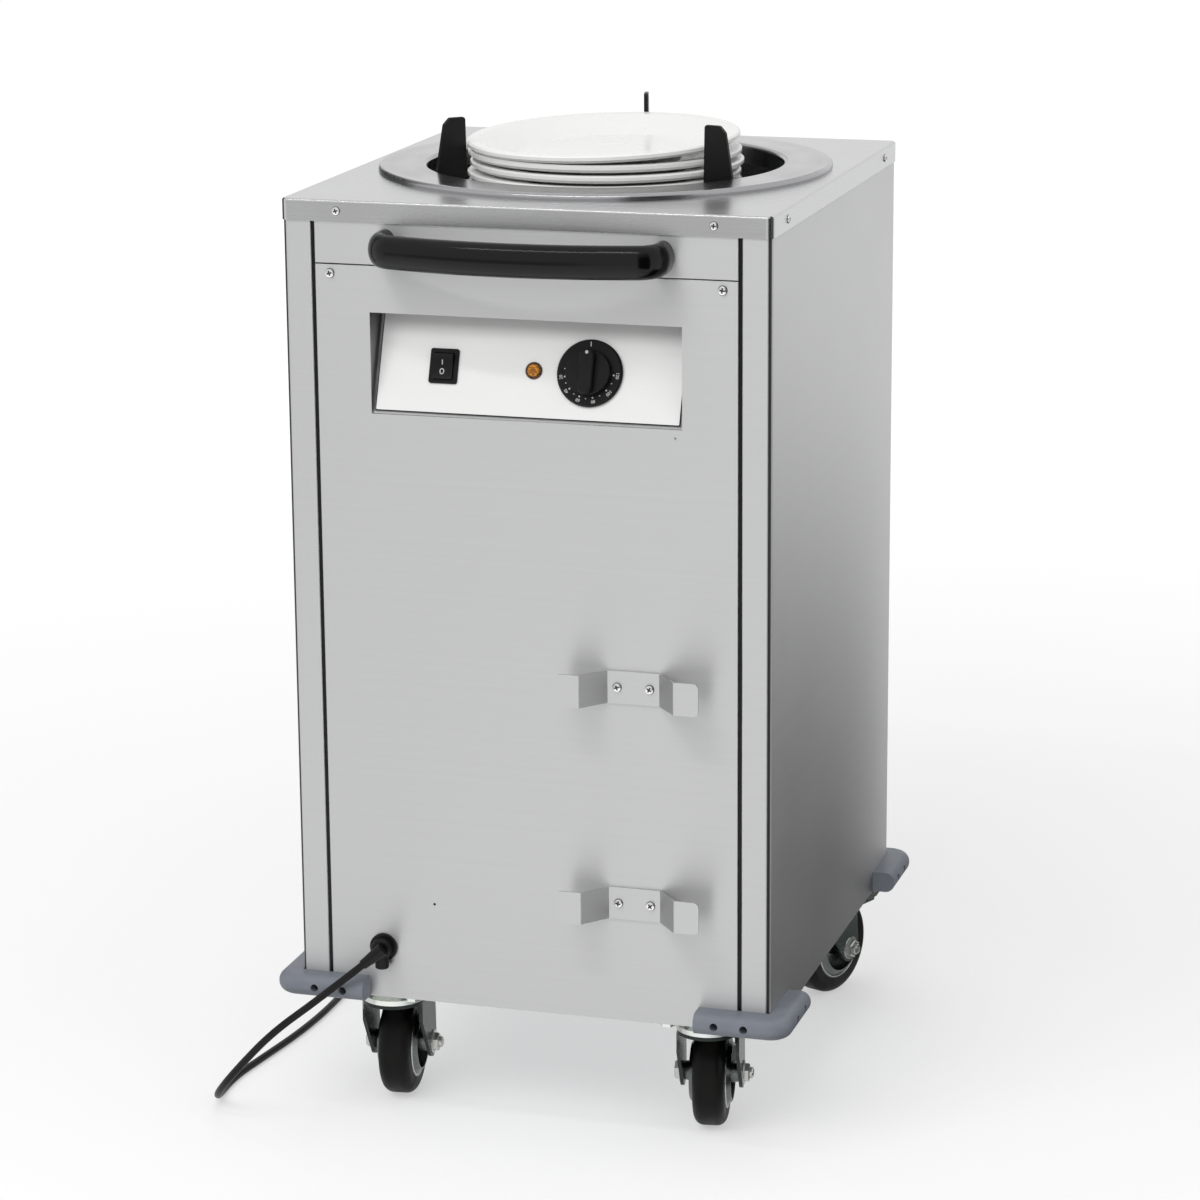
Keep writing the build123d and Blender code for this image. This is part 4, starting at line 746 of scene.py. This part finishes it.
def stitch(work, lower, upper):
    """Faces between two rings of vertices."""
    for i in range(len(lower)):
        j = (i + 1) % len(lower)
        work.faces.new((lower[i], lower[j], upper[j], upper[i]))


def ring_of(work, matrix, points):
    """Vertices at places in millimetres of a matrix's own space."""
    return [work.verts.new(matrix @ (Vector(p) * MM)) for p in points]


def turns_of(steps):
    """Angles of equal steps round a full turn."""
    return [2 * pi * i / steps for i in range(steps)]


def circle_of(work, matrix, radius, level, angles):
    """Ring of vertices on a circle at a level."""
    return ring_of(work, matrix, [(radius * cos(a), radius * sin(a), level) for a in angles])


def stitch_all(work, rings, around=False):
    """Faces between each ring and the next one, and back to the first where it goes around."""
    for lower, upper in zip(rings, rings[1:] + (rings[:1] if around else [])):
        stitch(work, lower, upper)


def fan(work, ring, centre):
    """Closes a ring with triangles to a point."""
    for i in range(len(ring)):
        work.faces.new((ring[i], ring[(i + 1) % len(ring)], centre))


# ------------------------------------------------------------------ screws
def cross_reach(angle, arm, half):
    """How far a cross-shaped recess reaches at an angle."""
    off = radians(abs((degrees(angle) + 45) % 90 - 45))
    return arm / cos(off) if tan(off) <= half / arm else half / sin(off)


def screw_head(work, matrix, radius, height):
    """Pan head with a cross recess, standing on its seat."""
    arm, half = radius * CROSS_ARM, radius * CROSS_HALF
    corner = atan2(half, arm)
    angles = []
    for quarter in range(4):
        middle = quarter * pi / 2
        steps = (-corner, 0, corner, pi / 8, pi / 4, 3 * pi / 8)
        angles += [middle + step for step in steps]

    def level(r):
        """Height of the domed top at a radius."""
        return height - height * DOME_DROP * (r / radius) ** DOME_POWER

    reach = [cross_reach(a, arm, half) for a in angles]
    taper, deep = CROSS_TAPER, height * CROSS_FLOOR
    floor = [(r * taper * cos(a), r * taper * sin(a), deep) for r, a in zip(reach, angles)]
    rim = [(r * cos(a), r * sin(a), level(r)) for r, a in zip(reach, angles)]
    rings = [ring_of(work, matrix, floor), ring_of(work, matrix, rim)]
    fan(work, rings[0], work.verts.new(matrix @ mm(0, 0, height * CROSS_TIP)))
    for share in DOME_RINGS:
        rings.append(circle_of(work, matrix, radius * share, level(radius * share), angles))
    for share, rise in EDGE_RINGS:
        rings.append(circle_of(work, matrix, radius * share, height * rise, angles))
    stitch_all(work, rings)
    fan(work, rings[-1], work.verts.new(matrix.translation))


def recess_shade(work, matrix, radius, height):
    """Painted shade in the cross of a screw and in the joint round its head."""
    arm, half, level = radius * SHADE_ARM, radius * SHADE_HALF, height * SHADE_LEVEL
    corners = [(arm, half), (half, half), (half, arm), (-half, arm), (-half, half), (-arm, half)]
    corners += [(-x, -y) for x, y in corners]
    work.faces.new(ring_of(work, matrix, [(x, y, level) for x, y in corners]))
    rings = [circle_of(work, matrix, radius * share, z, turns_of(24)) for share, z in JOINT_RINGS]
    stitch_all(work, rings)


def screws(name, node, places, radius, height):
    """All the screws of one kind as one piece, each turned a little differently."""
    work, shade = bmesh.new(), bmesh.new()
    for number, (spot, out) in enumerate(places):
        angle = FIRST_TURN + TURN_STEP * number % 90
        turn = standing(spot, out) @ Matrix.Rotation(radians(angle), 4, "Z")
        screw_head(work, turn, radius, height)
        recess_shade(shade, turn, radius, height)
    dark = mesh_of(name + "_shade", shade)
    new_piece(name + "_shade", dark, "screw_shade", "cabinet")
    piece = new_piece(name, mesh_of(name, work, 32.0), "screw_steel", "cabinet")
    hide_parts(node)


def make_screws():
    """Screws of the panels, the worktop's flange and the cord hooks."""
    sides = (-1, 1)
    panel = [((side * PANEL_SCREW_X, FRONT_Y, PANEL_SCREW_Z), FRONT) for side in sides]
    panel += [((side * PANEL_SCREW_X, REAR_Y, z), REAR) for side in sides for z in REAR_SCREW_ROWS]
    screws("panel_screw_heads", "panel_screws", panel, *PANEL_HEAD)
    x, z = FLANGE_SCREW_X, FLANGE_SCREW_Z
    flange = [((side * x, FRONT_Y - SHEET, z), FRONT) for side in sides]
    flange += [((side * x, REAR_Y + SHEET, z), REAR) for side in sides]
    flange += [
        ((side * FLANGE_SIDE_X, CABINET_Y + end * FLANGE_SIDE_Y, z), (side, 0, 0))
        for side in sides
        for end in sides
    ]
    screws("flange_screw_heads", "flange_screws", flange, *FLANGE_HEAD)
    hooks = [
        ((HOOK_X + side * HOOK_SCREW_X, FRONT_Y - HOOK_SHEET, z), FRONT)
        for side in sides
        for z in HOOK_SCREW_ROWS
    ]
    screws("hook_screw_heads", "hook_screws", hooks, *HOOK_HEAD)


# ------------------------------------------------------------------ strips of painted shade
def frame_strip(work, matrix, half_w, half_h, width, height):
    """Strip with a rectangular section laid round a rectangle."""
    rings = []
    for grow, level in ((0, 0), (width, 0), (width, height), (0, height)):
        w, h = half_w + grow, half_h + grow
        corners = [(-w, -h, level), (w, -h, level), (w, h, level), (-w, h, level)]
        rings.append(ring_of(work, matrix, corners))
    stitch_all(work, rings, around=True)


def make_plate_gap_shade():
    """Thin dark strip between the control plate and the recess: painted shadow of the gap between
    them.
    """
    work = bmesh.new()
    middle = recess_matrix(0.0, RECESS_RISE / 2)
    frame_strip(work, middle, PLATE_HALF_WIDTH, PLATE_HALF_HEIGHT, GAP_SHADE_WIDTH, GAP_SHADE_HEIGHT)
    seal = mesh_of("plate_seal", work)
    new_piece("plate_seal", seal, "matte_black_plastic", "cabinet")


def make_groove_shade_strips():
    """Black strips in the grooves beside the front panel: painted shade of the grooves."""
    work = bmesh.new()
    for side in (-1, 1):
        near, far = side * (GROOVE_INNER + STRIP_GAP), side * (GROOVE_OUTER - STRIP_GAP)
        section = [(near, GROOVE_BACK), (near, STRIP_FACE), (far, STRIP_FACE), (far, GROOVE_BACK)]
        ends = []
        for z in (GROOVE_LOW, GROOVE_HIGH):
            ends.append(ring_of(work, Matrix.Identity(4), [(x, y, z) for x, y in section]))
            work.faces.new(ends[-1])
        stitch(work, *ends)
    strips = mesh_of("groove_strips", work)
    new_piece("groove_strips", strips, "matte_black_plastic", "cabinet")


# ------------------------------------------------------------------ wheels
def axle_place(place, side):
    """Matrix at the middle of a wheel whose z looks out along the axle to one side."""
    low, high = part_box(place + "_tyre")
    middle = (Vector(low) + Vector(high)) / 2 / MM
    turn = radians(CASTER_TURNS[place])
    return standing(middle, (side * cos(turn), side * sin(turn), 0.0))


def spun(work, matrix, section, base, steps):
    """Turned form from (radius, height over a base) pairs whose ends are points on the axis."""
    turns = turns_of(steps)
    rings = [circle_of(work, matrix, r, base + z, turns) for r, z in section[1:-1]]
    stitch_all(work, rings)
    fan(work, rings[0], work.verts.new(matrix @ mm(0, 0, base + section[0][1])))
    fan(work, rings[-1], work.verts.new(matrix @ mm(0, 0, base + section[-1][1])))


def bead(work, matrix, radius, level, thick):
    """Round bead on a turned face."""
    rings = []
    for t in turns_of(8):
        r, z = radius + thick * cos(t), level + thick * sin(t)
        rings.append(circle_of(work, matrix, r, z, turns_of(64)))
    stitch_all(work, rings, around=True)


def make_hub_beads(place):
    """Bright rolled beads of a wheel centre, one a side against the tyre."""
    work = bmesh.new()
    for side in (-1, 1):
        bead(work, axle_place(place, side), BEAD_RADIUS, BEAD_LEVEL, BEAD_THICK)
    name = place + "_hub_beads"
    new_piece(name, mesh_of(name, work), "bright_zinc", place + "_wheel")


def make_axle_nuts(place):
    """Washer and chamfered hex on each side of a fork, with the bolt's domed end on one of them."""
    work = bmesh.new()
    corners = [pi / 6 + a for a in turns_of(6)]
    for side in (-1, 1):
        out = axle_place(place, side)
        spun(work, out, WASHER, FORK_FACE, 40)
        rings = [circle_of(work, out, r, FORK_FACE + z, corners) for r, z in NUT]
        stitch_all(work, rings)
        work.faces.new(rings[0])
        work.faces.new(rings[-1])
        if side > 0:
            spun(work, out, BOLT_END, FORK_FACE, 24)
    name = place + "_axle_nuts"
    shape = mesh_of(name, work, 28.0)
    new_piece(name, shape, "bright_zinc", place + "_swivel")


# ------------------------------------------------------------------ marks
def recess_matrix(across, up):
    """Place on the sloping control plate: x across, y up the slope, z out of it."""
    rise = Vector((0.0, sin(RECESS_TILT), cos(RECESS_TILT)))
    out = Vector((0.0, -cos(RECESS_TILT), sin(RECESS_TILT)))
    return standing(RECESS_SILL + Vector((across, 0, 0)) + rise * up, out)


def surface_of(node):
    """A CAD node's surface, ready to be struck by rays."""
    work = bmesh.new()
    work.from_mesh(frame["nodes"][node].data)
    tree = BVHTree.FromBMesh(work)
    work.free()
    return tree


def lay_on(work, tree, matrix):
    """Drops flat marks, drawn in the matrix's own plane, onto a surface."""
    out = (matrix.to_3x3() @ Vector((0, 0, 1))).normalized()
    for point in work.verts:
        flat = matrix @ point.co
        hit = tree.ray_cast(flat + out * INK_DROP * MM, -out)[0]
        point.co = (hit or flat) + out * INK_LIFT * MM


def flat_points(work, points):
    """Vertices of flat marks at x and y in millimetres."""
    return [work.verts.new(mm(x, y, 0)) for x, y in points]


def disc(work, x, y, radius):
    """Round dot."""
    edge = flat_points(work, [(x + radius * cos(a), y + radius * sin(a)) for a in turns_of(16)])
    fan(work, edge, work.verts.new(mm(x, y, 0)))


def bar(work, x, y, width, height, turn=0.0):
    """Upright stroke, cut into short lengths so that it can follow a curve."""
    c, s = cos(turn), sin(turn)
    rows = []
    for k in range(5):
        v = height * (k / 4 - 0.5)
        ends = [(x + u * c - v * s, y + u * s + v * c) for u in (-width / 2, width / 2)]
        rows.append(flat_points(work, ends))
    for low, high in zip(rows, rows[1:]):
        work.faces.new((low[0], low[1], high[1], high[0]))


def hoop(work, x, y, width, height, stroke):
    """Open oval stroke."""
    rings = []
    for inset in (0.0, stroke):
        a, b = width / 2 - inset, height / 2 - inset
        rings.append(flat_points(work, [(x + a * cos(t), y + b * sin(t)) for t in turns_of(32)]))
    stitch(work, *rings)


def digits(work, text, x, y, height, turn):
    """Numbers in the built-in plain face, centred on a point and turned."""
    line = bpy.data.curves.new("dial_number", "FONT")
    line.body = text
    line.align_x = "CENTER"
    line.align_y = "CENTER"
    line.size = height * MM * FACE_SIZE
    line.offset = height * MM * FACE_WEIGHT
    line.resolution_u = 3
    holder = new_thing("dial_number", line)
    bpy.context.view_layer.update()
    settled = holder.evaluated_get(bpy.context.evaluated_depsgraph_get())
    shape = bpy.data.meshes.new_from_object(settled)
    shape.transform(Matrix.Translation(mm(x, y, 0)) @ Matrix.Rotation(turn, 4, "Z"))
    work.from_mesh(shape)
    bpy.data.objects.remove(holder, do_unlink=True)
    bpy.data.curves.remove(line)
    bpy.data.meshes.remove(shape)


def ink(name, node, work, matrix, body):
    """Marks laid on a node as one thin printed piece."""
    lay_on(work, surface_of(node), matrix)
    for face in work.faces:
        face.normal_update()
    new_piece(name, plain_mesh(name, work), "mark_white", body)


def make_switch_marks():
    """On and off marks of the rocker."""
    work = bmesh.new()
    bar(work, *ON_MARK_PLACE, STROKE, STROKE_HEIGHT)
    hoop(work, *OFF_MARK_PLACE, OFF_MARK_WIDTH, OFF_MARK_HEIGHT, STROKE)
    ink("switch_marks", "rocker_switch", work, recess_matrix(SWITCH_X, CONTROL_LINE), "rocker")


def make_dial_marks():
    """Numbers, dots and off mark round the knob's skirt, and the dot on its pointer."""
    work = bmesh.new()
    for angle in SMALL_DOT_ANGLES:
        a = radians(angle)
        disc(work, SMALL_DOT_CIRCLE * cos(a), SMALL_DOT_CIRCLE * sin(a), SMALL_DOT)
    for angle, text in NUMBER_ANGLES:
        a = radians(angle)
        disc(work, NUMBER_DOT_CIRCLE * cos(a), NUMBER_DOT_CIRCLE * sin(a), NUMBER_DOT)
        x, y = NUMBER_CIRCLE * cos(a), NUMBER_CIRCLE * sin(a)
        digits(work, text, x, y, NUMBER_HEIGHT, a - pi / 2)
    a = radians(OFF_MARK_ANGLE)
    x, y = OFF_MARK_CIRCLE * cos(a), OFF_MARK_CIRCLE * sin(a)
    bar(work, x, y, STROKE, STROKE_HEIGHT, a - pi / 2)
    ink("dial_marks", "thermostat_knob", work, recess_matrix(KNOB_X, CONTROL_LINE), "knob")
    work = bmesh.new()
    disc(work, 0.0, POINTER_DOT_Y, POINTER_DOT)
    ink("pointer_dot", "thermostat_knob", work, recess_matrix(KNOB_X, CONTROL_LINE), "knob")


# ------------------------------------------------------------------ mains cord
# The lead drops from the gland to the floor and runs along it; y counts from the front panel.
CORD_DROP = (
    (-156.0, -22.7, 163.0),
    (-196.0, -34.7, 129.5),
    (-238.0, -44.7, 97.0),
    (-272.0, -44.7, 60.0),
    (-300.0, -28.7, 27.0),
)
CORD_RUN = (
    (-318.0, 8.0), (-322.0, 62.0), (-314.0, 120.0), (-304.0, 190.0), (-300.0, 268.0),
    (-304.0, 350.0), (-304.0, 436.0), (-294.0, 504.0), (-262.0, 552.0), (-232.0, 590.0),
    (-217.0, 618.0),
)
LEAD_HEADING = Vector((18.0, 46.0, 0.0)).normalized()
COIL_X = -212.0 + COIL_RADIUS * LEAD_HEADING.y
COIL_Y = FRONT_Y + 636.0 - COIL_RADIUS * LEAD_HEADING.x
CORD_TAIL = (
    (COIL_X + 24.0, COIL_Y + COIL_OUTER - 1.0, COIL_HIGH + 0.6),
    (COIL_X + 46.2, COIL_Y + 40.0, PLUG_ENTRY_Z),
    (COIL_X + 70.0, COIL_Y + 36.0, PLUG_ENTRY_Z),
)


def ease(value, start, end):
    """Smooth share of the way from start to end."""
    share = min(max((value - start) / (end - start), 0.0), 1.0)
    return share * share * (3 - 2 * share)


def coil_turns():
    """The wound turns: out and low, in and low, in and high, out and high."""
    first = degrees(atan2(LEAD_HEADING.x, -LEAD_HEADING.y))
    last = 360.0 * 3 + (first - 90.0)
    points = []
    for number in range(1, COIL_STEPS + 1):
        gone = last * number / COIL_STEPS
        inward = ease(gone, *TURNS_IN) - ease(gone, *TURNS_OUT)
        upward = ease(gone, *TURNS_UP)
        radius = (COIL_OUTER + (COIL_INNER - COIL_OUTER) * inward) / COIL_SWELL
        level = COIL_LOW + (COIL_HIGH - COIL_LOW) * upward
        a = radians(first - gone)
        points.append((COIL_X + radius * cos(a), COIL_Y + radius * sin(a), level))
    return points


def cord_points():
    """Places of the cord from the gland over the floor and round the coil to the plug."""
    drop = [(x, FRONT_Y + y, z) for x, y, z in CORD_DROP]
    run = [(x, FRONT_Y + y, CORD_FLOOR) for x, y in CORD_RUN]
    return drop + run + coil_turns() + list(CORD_TAIL)


def add_spline(line, points):
    """An open smooth line through a curve's data, by places in millimetres."""
    spline = line.splines.new("NURBS")
    spline.points.add(len(points) - 1)
    for point, place in zip(spline.points, points):
        point.co = (*mm(*place), 1.0)
    spline.order_u = 3
    spline.use_endpoint_u = True
    return spline


def round_line(name, radius, smoothness):
    """An empty curve that is round in section, with closed ends."""
    line = bpy.data.curves.new(name, "CURVE")
    line.dimensions = "3D"
    line.bevel_depth = radius * MM
    line.bevel_resolution = smoothness
    line.use_fill_caps = True
    return line


def make_cord():
    """The whole mains cord as one smooth line, from the gland to the plug."""
    line = round_line("mains_cord", CORD_RADIUS, 4)
    add_spline(line, cord_points()).resolution_u = 6
    piece = new_piece("mains_cord", line, "cord_jacket", "cabinet")
    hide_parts("power_cord", "cord_coil")
    return piece


def make_coil_tie():
    """Twist tie that holds the spare turns together, and its two twisted wires."""
    work = bmesh.new()
    a = radians(TIE_ANGLE)
    x, y = COIL_X + COIL_RADIUS * cos(a), COIL_Y + COIL_RADIUS * sin(a)
    middle = Vector((x, y, (COIL_LOW + COIL_HIGH) / 2))
    across, along, up = Vector((cos(a), sin(a), 0)), Vector((-sin(a), cos(a), 0)), Vector((0, 0, 1))

    def loop(grow, shift):
        """Rounded square round the cords, grown from their sides and shifted along them."""
        points = []
        for t in turns_of(32):
            c, s = cos(t), sin(t)
            reach = (abs(c) ** TIE_SQUARE + abs(s) ** TIE_SQUARE) ** (-1 / TIE_SQUARE)
            wide, high = (TIE_HALF_WIDTH + grow) * reach * c, (TIE_HALF_HEIGHT + grow) * reach * s
            points.append(middle + across * wide + up * high + along * shift)
        return ring_of(work, Matrix.Identity(4), points)

    near, far = -TIE_HALF_LENGTH, TIE_HALF_LENGTH
    section = ((TIE_INSIDE, near), (TIE_OUTSIDE, near), (TIE_OUTSIDE, far), (TIE_INSIDE, far))
    loops = [loop(grow, shift) for grow, shift in section]
    stitch_all(work, loops, around=True)
    band = mesh_of("coil_tie", work)
    piece = new_piece("coil_tie", band, "matte_black_plastic", "cabinet")

    twist = round_line("tie_twist", TWIST_WIRE, 2)
    start = middle + across * (TIE_HALF_WIDTH + TWIST_START) + up * TWIST_RISE
    for sign in (-1, 1):
        points = []
        for i in range(TWIST_STEPS + 1):
            t = i / TWIST_STEPS
            spin = sign * pi / 2 + t * 4 * pi
            away = TWIST_RADIUS + (TWIST_SPLAY * t if t > TWIST_SPLAY_FROM else 0)
            round_it = (along * cos(spin) + up * sin(spin)) * away
            points.append(start + across * TWIST_REACH * t + round_it)
        add_spline(twist, points)
    ends = new_piece("tie_twist", twist, "matte_black_plastic", "cabinet")
    return piece, ends


# ------------------------------------------------------------------ studio
VIEW_YAW, VIEW_PITCH, VIEW_ROLL = 16.776, 14.537, -0.448
VIEWPOINT = (1.0469, -3.4899 + CABINET_Y * MM, 1.3987)
FOCAL_LENGTH, SENSOR_WIDTH = 118.65, 36.0
FLOOR_TINT = 0.6
FLOOR_DROP = 0.0005
FLOOR_REACH = 30.0


def camera_at_viewpoint():
    """Long lens from the front, a little to the right and above."""
    yaw, pitch, roll = radians(VIEW_YAW), radians(VIEW_PITCH), radians(VIEW_ROLL)
    back = Vector((sin(yaw) * cos(pitch), -cos(yaw) * cos(pitch), sin(pitch)))
    right = Vector((cos(yaw), sin(yaw), 0.0))
    up = back.cross(right)
    turned_right = right * cos(roll) + up * sin(roll)
    turned_up = -right * sin(roll) + up * cos(roll)
    lens = bpy.data.cameras.new("camera")
    lens.lens, lens.sensor_width = FOCAL_LENGTH, SENSOR_WIDTH
    lens.clip_start, lens.clip_end = 0.1, 60.0
    camera = new_thing("camera", lens)
    turn = Matrix((turned_right, turned_up, back)).transposed().to_4x4()
    camera.matrix_world = Matrix.Translation(VIEWPOINT) @ turn
    bpy.context.scene.camera = camera


def lamp(name, place, aim, width, height, watts, mirrored):
    """Soft lamp; one that isn't mirrored lights the cabinet but doesn't show in its metal."""
    light = bpy.data.lights.new(name, "AREA")
    light.shape = "RECTANGLE"
    light.size, light.size_y = width, height
    light.energy = watts
    thing = new_thing(name, light)
    thing.location = place
    thing.rotation_mode = "QUATERNION"
    thing.rotation_quaternion = (Vector(aim) - Vector(place)).to_track_quat("-Z", "Y")
    thing.visible_glossy = mirrored


def seen_directly(tree):
    """1 where the camera, or a reflection or clear plastic, looks at the white studio."""
    path = add(tree, "ShaderNodeLightPath")
    seen = maths(tree, "MAXIMUM", path.outputs["Is Camera Ray"], path.outputs["Is Glossy Ray"])
    return maths(tree, "MAXIMUM", seen, path.outputs["Is Transmission Ray"])


def white_room():
    """Even white surroundings, brighter where they are seen than where they light."""
    world = bpy.data.worlds.new("white_room")
    bpy.context.scene.world = world
    world.use_nodes = True
    tree = world.node_tree
    tree.nodes.clear()
    out = add(tree, "ShaderNodeOutputWorld")
    mix = add(tree, "ShaderNodeMixShader")
    soft = add(tree, "ShaderNodeBackground", {"Color": (1, 1, 1, 1), "Strength": 0.5})
    white = add(tree, "ShaderNodeBackground", {"Color": (1, 1, 1, 1), "Strength": 1.0})
    join(tree, seen_directly(tree), mix.inputs[0])
    join(tree, soft.outputs[0], mix.inputs[1])
    join(tree, white.outputs[0], mix.inputs[2])
    join(tree, mix.outputs[0], out.inputs["Surface"])


def bare_material(name):
    """A material without nodes but for its output, whose glow isn't counted as a lamp."""
    material = bpy.data.materials.new(name)
    material.use_nodes = True
    material.node_tree.nodes.clear()
    material.cycles.emission_sampling = "NONE"
    return material, material.node_tree, add(material.node_tree, "ShaderNodeOutputMaterial")


def studio_thing(name, work, material):
    """A floor or card from its mesh."""
    shape = plain_mesh(name, work)
    shape.materials.append(material)
    return new_thing(name, shape)


def pale_floor():
    """Matt floor whose glow rises to white far away and is weaker near the cabinet, a painted shade
    round it; the cabinet's shadow shows there too.
    """
    material, tree, out = bare_material("floor")
    matt = add(tree, "ShaderNodeBsdfDiffuse", {"Color": (FLOOR_TINT, FLOOR_TINT, FLOOR_TINT, 1)})
    glow = add(tree, "ShaderNodeEmission", {"Color": (1, 1, 1, 1)})
    both = add(tree, "ShaderNodeAddShader")
    away = vectors(tree, "LENGTH", add(tree, "ShaderNodeTexCoord").outputs["Object"])
    bright = spread(tree, away, 0.6, 3.0, 0.46, 0.72)
    join(tree, maths(tree, "MULTIPLY", seen_directly(tree), bright), glow.inputs["Strength"])
    join(tree, matt.outputs[0], both.inputs[0])
    join(tree, glow.outputs[0], both.inputs[1])
    join(tree, both.outputs[0], out.inputs["Surface"])
    work = bmesh.new()
    bmesh.ops.create_circle(work, cap_ends=True, segments=64, radius=FLOOR_REACH)
    floor = studio_thing("floor", work, material)
    floor.location = (0, 0, -FLOOR_DROP)


def flag_card(name, corner, across, along, dark, solid, soft):
    """Card that shows only in reflections, as a photographer's flag gives metal its edges.

    It spans two directions from a corner, fades at both sides and, past its solid share, along.
    """
    material, tree, out = bare_material(name)
    clear = add(tree, "ShaderNodeBsdfTransparent")
    plain = add(tree, "ShaderNodeEmission", {"Color": (dark, dark, dark, 1)})
    mix = add(tree, "ShaderNodeMixShader")
    parts = add(tree, "ShaderNodeSeparateXYZ")
    join(tree, add(tree, "ShaderNodeUVMap", uv_map="card").outputs[0], parts.inputs[0])
    side = maths(tree, "ABSOLUTE", maths(tree, "SUBTRACT", parts.outputs["X"], 0.5))
    sides = spread(tree, side, 0.5 - soft, 0.5, 1.0, 0.0)
    end = spread(tree, parts.outputs["Y"], solid, 1.0, 1.0, 0.0)
    join(tree, maths(tree, "MULTIPLY", sides, end), mix.inputs[0])
    join(tree, clear.outputs[0], mix.inputs[1])
    join(tree, plain.outputs[0], mix.inputs[2])
    join(tree, mix.outputs[0], out.inputs["Surface"])
    work = bmesh.new()
    start, across, along = Vector(corner), Vector(across), Vector(along)
    corners = (start, start + across, start + across + along, start + along)
    face = work.faces.new([work.verts.new(place) for place in corners])
    layer = work.loops.layers.uv.new("card")
    for loop, place in zip(face.loops, ((0, 0), (1, 0), (1, 1), (0, 1))):
        loop[layer].uv = place
    card = studio_thing(name, work, material)
    card.visible_camera = False
    card.visible_diffuse = False
    card.visible_shadow = False


# Lamps: place, what they aim at, width, height, watts, and whether metal mirrors them.
LAMPS = {
    "key_softbox": ((-0.7, -2.5, 2.3), (0, -0.1, 0.5), 2.6, 1.2, 38, False),
    "fill_softbox": ((2.6, -1.6, 1.7), (0, 0, 0.5), 1.4, 2.0, 9, False),
    "top_softbox": ((0.1, 0.9, 2.9), (0, 0, 0.8), 1.8, 1.4, 8, False),
    "strip_light": ((-0.1, -1.2, 2.2), (0, -0.25, 0.8), 1.5, 0.08, 5, True),
}
# Cards: corner, span across, span along, brightness, solid share along, and fading share of a side.
CARDS = {
    "bounce_front": ((-1.6, -0.35, 0.01), (2.3, 0, 0), (0, -1.6, 0), 1.5, 0.4, 0.15),
    # flag_floor lies on the floor along the right side: a painted shadow of the cabinet that the
    # side panel mirrors.
    "flag_floor": ((0.226, -0.5, 0.01), (1.3, 0, 0), (0, 1.3, 0), 0.02, 0.5, 0.02),
    "flag_behind": ((0.29, 0.47, 0.0), (1.3, 0.1, 0), (0, 0, 0.68), 0.02, 0.4, 0.06),
    "flag_front": ((-3.2, -3.0, 0.0), (3.6, 0, 0), (0, 0, 0.9), 0.58, 0.6, 0.15),
    "flag_right": ((0.85, -2.0, 0), (0.55, 1.15, 0), (0, 0, 2.6), 0.03, 0.5, 0.08),
    "flag_left": ((-1.5, -0.1, 0), (0.3, 1.7, 0), (0, 0, 2.6), 0.1, 0.5, 0.15),
}


def light_studio():
    """Sets up every lamp and card."""
    for name, settings in LAMPS.items():
        lamp(name, *settings)
    for name, settings in CARDS.items():
        flag_card(name, *settings)


# ------------------------------------------------------------------ assembly
bpy.context.scene.view_settings.view_transform = "Standard"
camera_at_viewpoint()
white_room()
pale_floor()
light_studio()
dress_nodes()
cord = make_cord()
tie, twist = make_coil_tie()
make_screws()
make_plate_gap_shade()
make_groove_shade_strips()
for place in CASTER_TURNS:
    make_hub_beads(place)
    make_axle_nuts(place)
make_switch_marks()
make_dial_marks()
